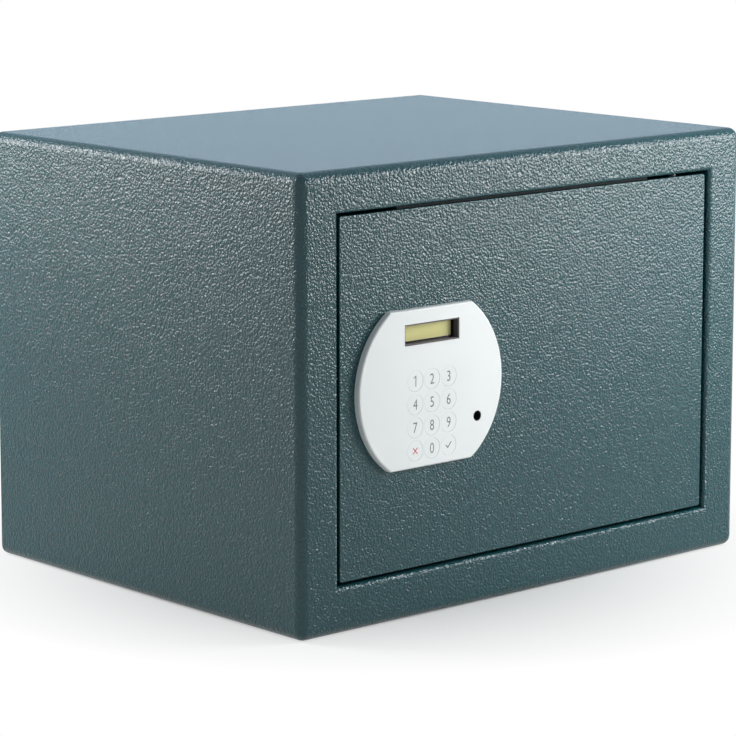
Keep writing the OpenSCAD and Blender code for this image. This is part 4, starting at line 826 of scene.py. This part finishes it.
strand.points.add(len(LEAD_RISE) + len(LEAD_FALL) - len(strand.points))
for point, place in zip(strand.points, [LEAD_START + Vector(p) for p in LEAD_RISE]
                        + [LEAD_GOAL + Vector(p) for p in LEAD_FALL]):
    point.co = (*(place * MM), 1)
strand.use_endpoint_u, strand.order_u, strand.resolution_u = True, 4, 6
bpy.ops.object.convert(target="MESH")
finish_piece(bpy.context.object, red_plastic, "red_plastic", "door", "motor_lead", smooth=60)


# ---- Batteries ----
# Four cells stand side by side in a black tray on four legs, under the lid of the cover.
# Their jackets are plain.
finish_piece(softened_copy("cell_tray", "battery_holder", 0.35), black_abs, "black_plastic", "door",
             "battery_holder")
# Printed steel jacket of the cells: dark green and plain, with bare steel at both ends
CELL_MIDDLE, CELL_JACKET_HALF, SCUFF_MM = 130.25, 22.9, 4
cell_jacket = new_material("plain_green_cell_jacket")
place = add_node(cell_jacket, "TexCoord").outputs["Object"]
along = add_node(cell_jacket, "SeparateXYZ", {0: place}).outputs["Z"]
along = add_node(cell_jacket, "Math", {0: along, 1: CELL_MIDDLE * MM}, operation="SUBTRACT")
along = add_node(cell_jacket, "Math", {0: along.outputs[0]}, operation="ABSOLUTE")
bare = add_node(cell_jacket, "Math", {0: along.outputs[0], 1: CELL_JACKET_HALF * MM},
                operation="GREATER_THAN")
scuffs = add_node(cell_jacket, "TexNoise", {"Vector": place, "Scale": 1 / (SCUFF_MM * MM), "Detail": 3})
green = add_ramp(cell_jacket, scuffs.outputs[0], 0.0, "#1F4038", 1.0, "#2F5A50")
tone = add_node(cell_jacket, "Mix", {"Factor": bare.outputs[0], 6: green.outputs[0], 7: linear("#C9CBCD")},
                data_type="RGBA")
link_surface(cell_jacket, add_node(cell_jacket, "BsdfPrincipled", {
    "Base Color": tone.outputs[2], "Metallic": bare.outputs[0], "Roughness": 0.32}))
finish_piece(softened_copy("alkaline_cells", "batteries", 0.5, segments=3), cell_jacket, "cell_jacket",
             "door", "batteries")


# ---- Lock cover and battery lid ----
# A deep moulded cover hides the lock on the door's back, held by four screws in posts.
# A lid for the batteries slides sideways in a track of the cover, with grooves for a fingertip.
COVER_LEFT, COVER_RIGHT, COVER_LOW, COVER_HIGH = -144.5, 41, 54.25, 206.25
COVER_FRONT, COVER_INNER, COVER_OUTER, COVER_WALL, COVER_EDGE_R = -132.5, -95.7, -93.5, 2.2, 1.6
BOLT_Y, BOLT_ROWS, BOLT_WAY_R = -109.5, (84.25, 176.25), 8.5
# The lid's track is a slot that is wider inside, for the lid's lips; its cutters overlap a little
TRACK_LEFT, TRACK_LOW, TRACK_HIGH, TRACK_STEP, LID_LIP = -30.3, 97.95, 162.55, -94.6, 1.5
INNER_LAP, STEP_LAP = 0.05, 0.01
RESET_X, RESET_Z, RESET_WAY_R = -34, 181.25, 3.3
cover = add_block("lock_housing", (COVER_LEFT, COVER_FRONT, COVER_LOW),
                  (COVER_RIGHT, COVER_OUTER, COVER_HIGH))
select(cover, "EDGE", lambda e: runs_back(e) or middle(e).y > COVER_OUTER - MARGIN)
bpy.ops.mesh.bevel(offset=COVER_EDGE_R * MM, segments=4, affect="EDGES")
done_editing()
cut(cover,
    add_block("cutter", (COVER_LEFT + COVER_WALL, COVER_FRONT - MARGIN, COVER_LOW + COVER_WALL),
              (COVER_RIGHT - COVER_WALL, COVER_INNER, COVER_HIGH - COVER_WALL)),
    *[add_rod("drill", "x", (COVER_LEFT, BOLT_Y, z), BOLT_WAY_R, DRILL) for z in BOLT_ROWS],
    add_block("cutter", (TRACK_LEFT, TRACK_STEP, TRACK_LOW),
              (COVER_RIGHT + MARGIN, COVER_OUTER + MARGIN, TRACK_HIGH)),
    add_block("cutter", (TRACK_LEFT, COVER_INNER - INNER_LAP, TRACK_LOW - LID_LIP),
              (COVER_RIGHT + MARGIN, TRACK_STEP + STEP_LAP, TRACK_HIGH + LID_LIP)),
    add_rod("drill", "y", (RESET_X, COVER_OUTER, RESET_Z), RESET_WAY_R, DRILL))
round_edges(cover, 0.3, angle=40)
finish_piece(cover, black_abs, "black_plastic", "door", "lock_cover")

COVER_SCREW_XS, COVER_SCREW_ZS, COVER_SCREW_REACH = (-128, 30), (65.25, 195.25), 10.2
cover_fixings = add_pan_screws(
    "cover_pan_screws", [(x, COVER_OUTER, z) for x in COVER_SCREW_XS for z in COVER_SCREW_ZS],
    COVER_SCREW_REACH)
finish_piece(cover_fixings, bright_steel, "bright_steel", "door", "cover_screws")
finish_piece(softened_copy("sliding_lid", "battery_lid", 0.25), black_abs, "black_plastic", "battery_lid",
             "battery_lid")
finish_piece(softened_copy("push_button", "reset_button", 0.6, segments=4), red_plastic, "red_plastic",
             "reset_button", "reset_button")
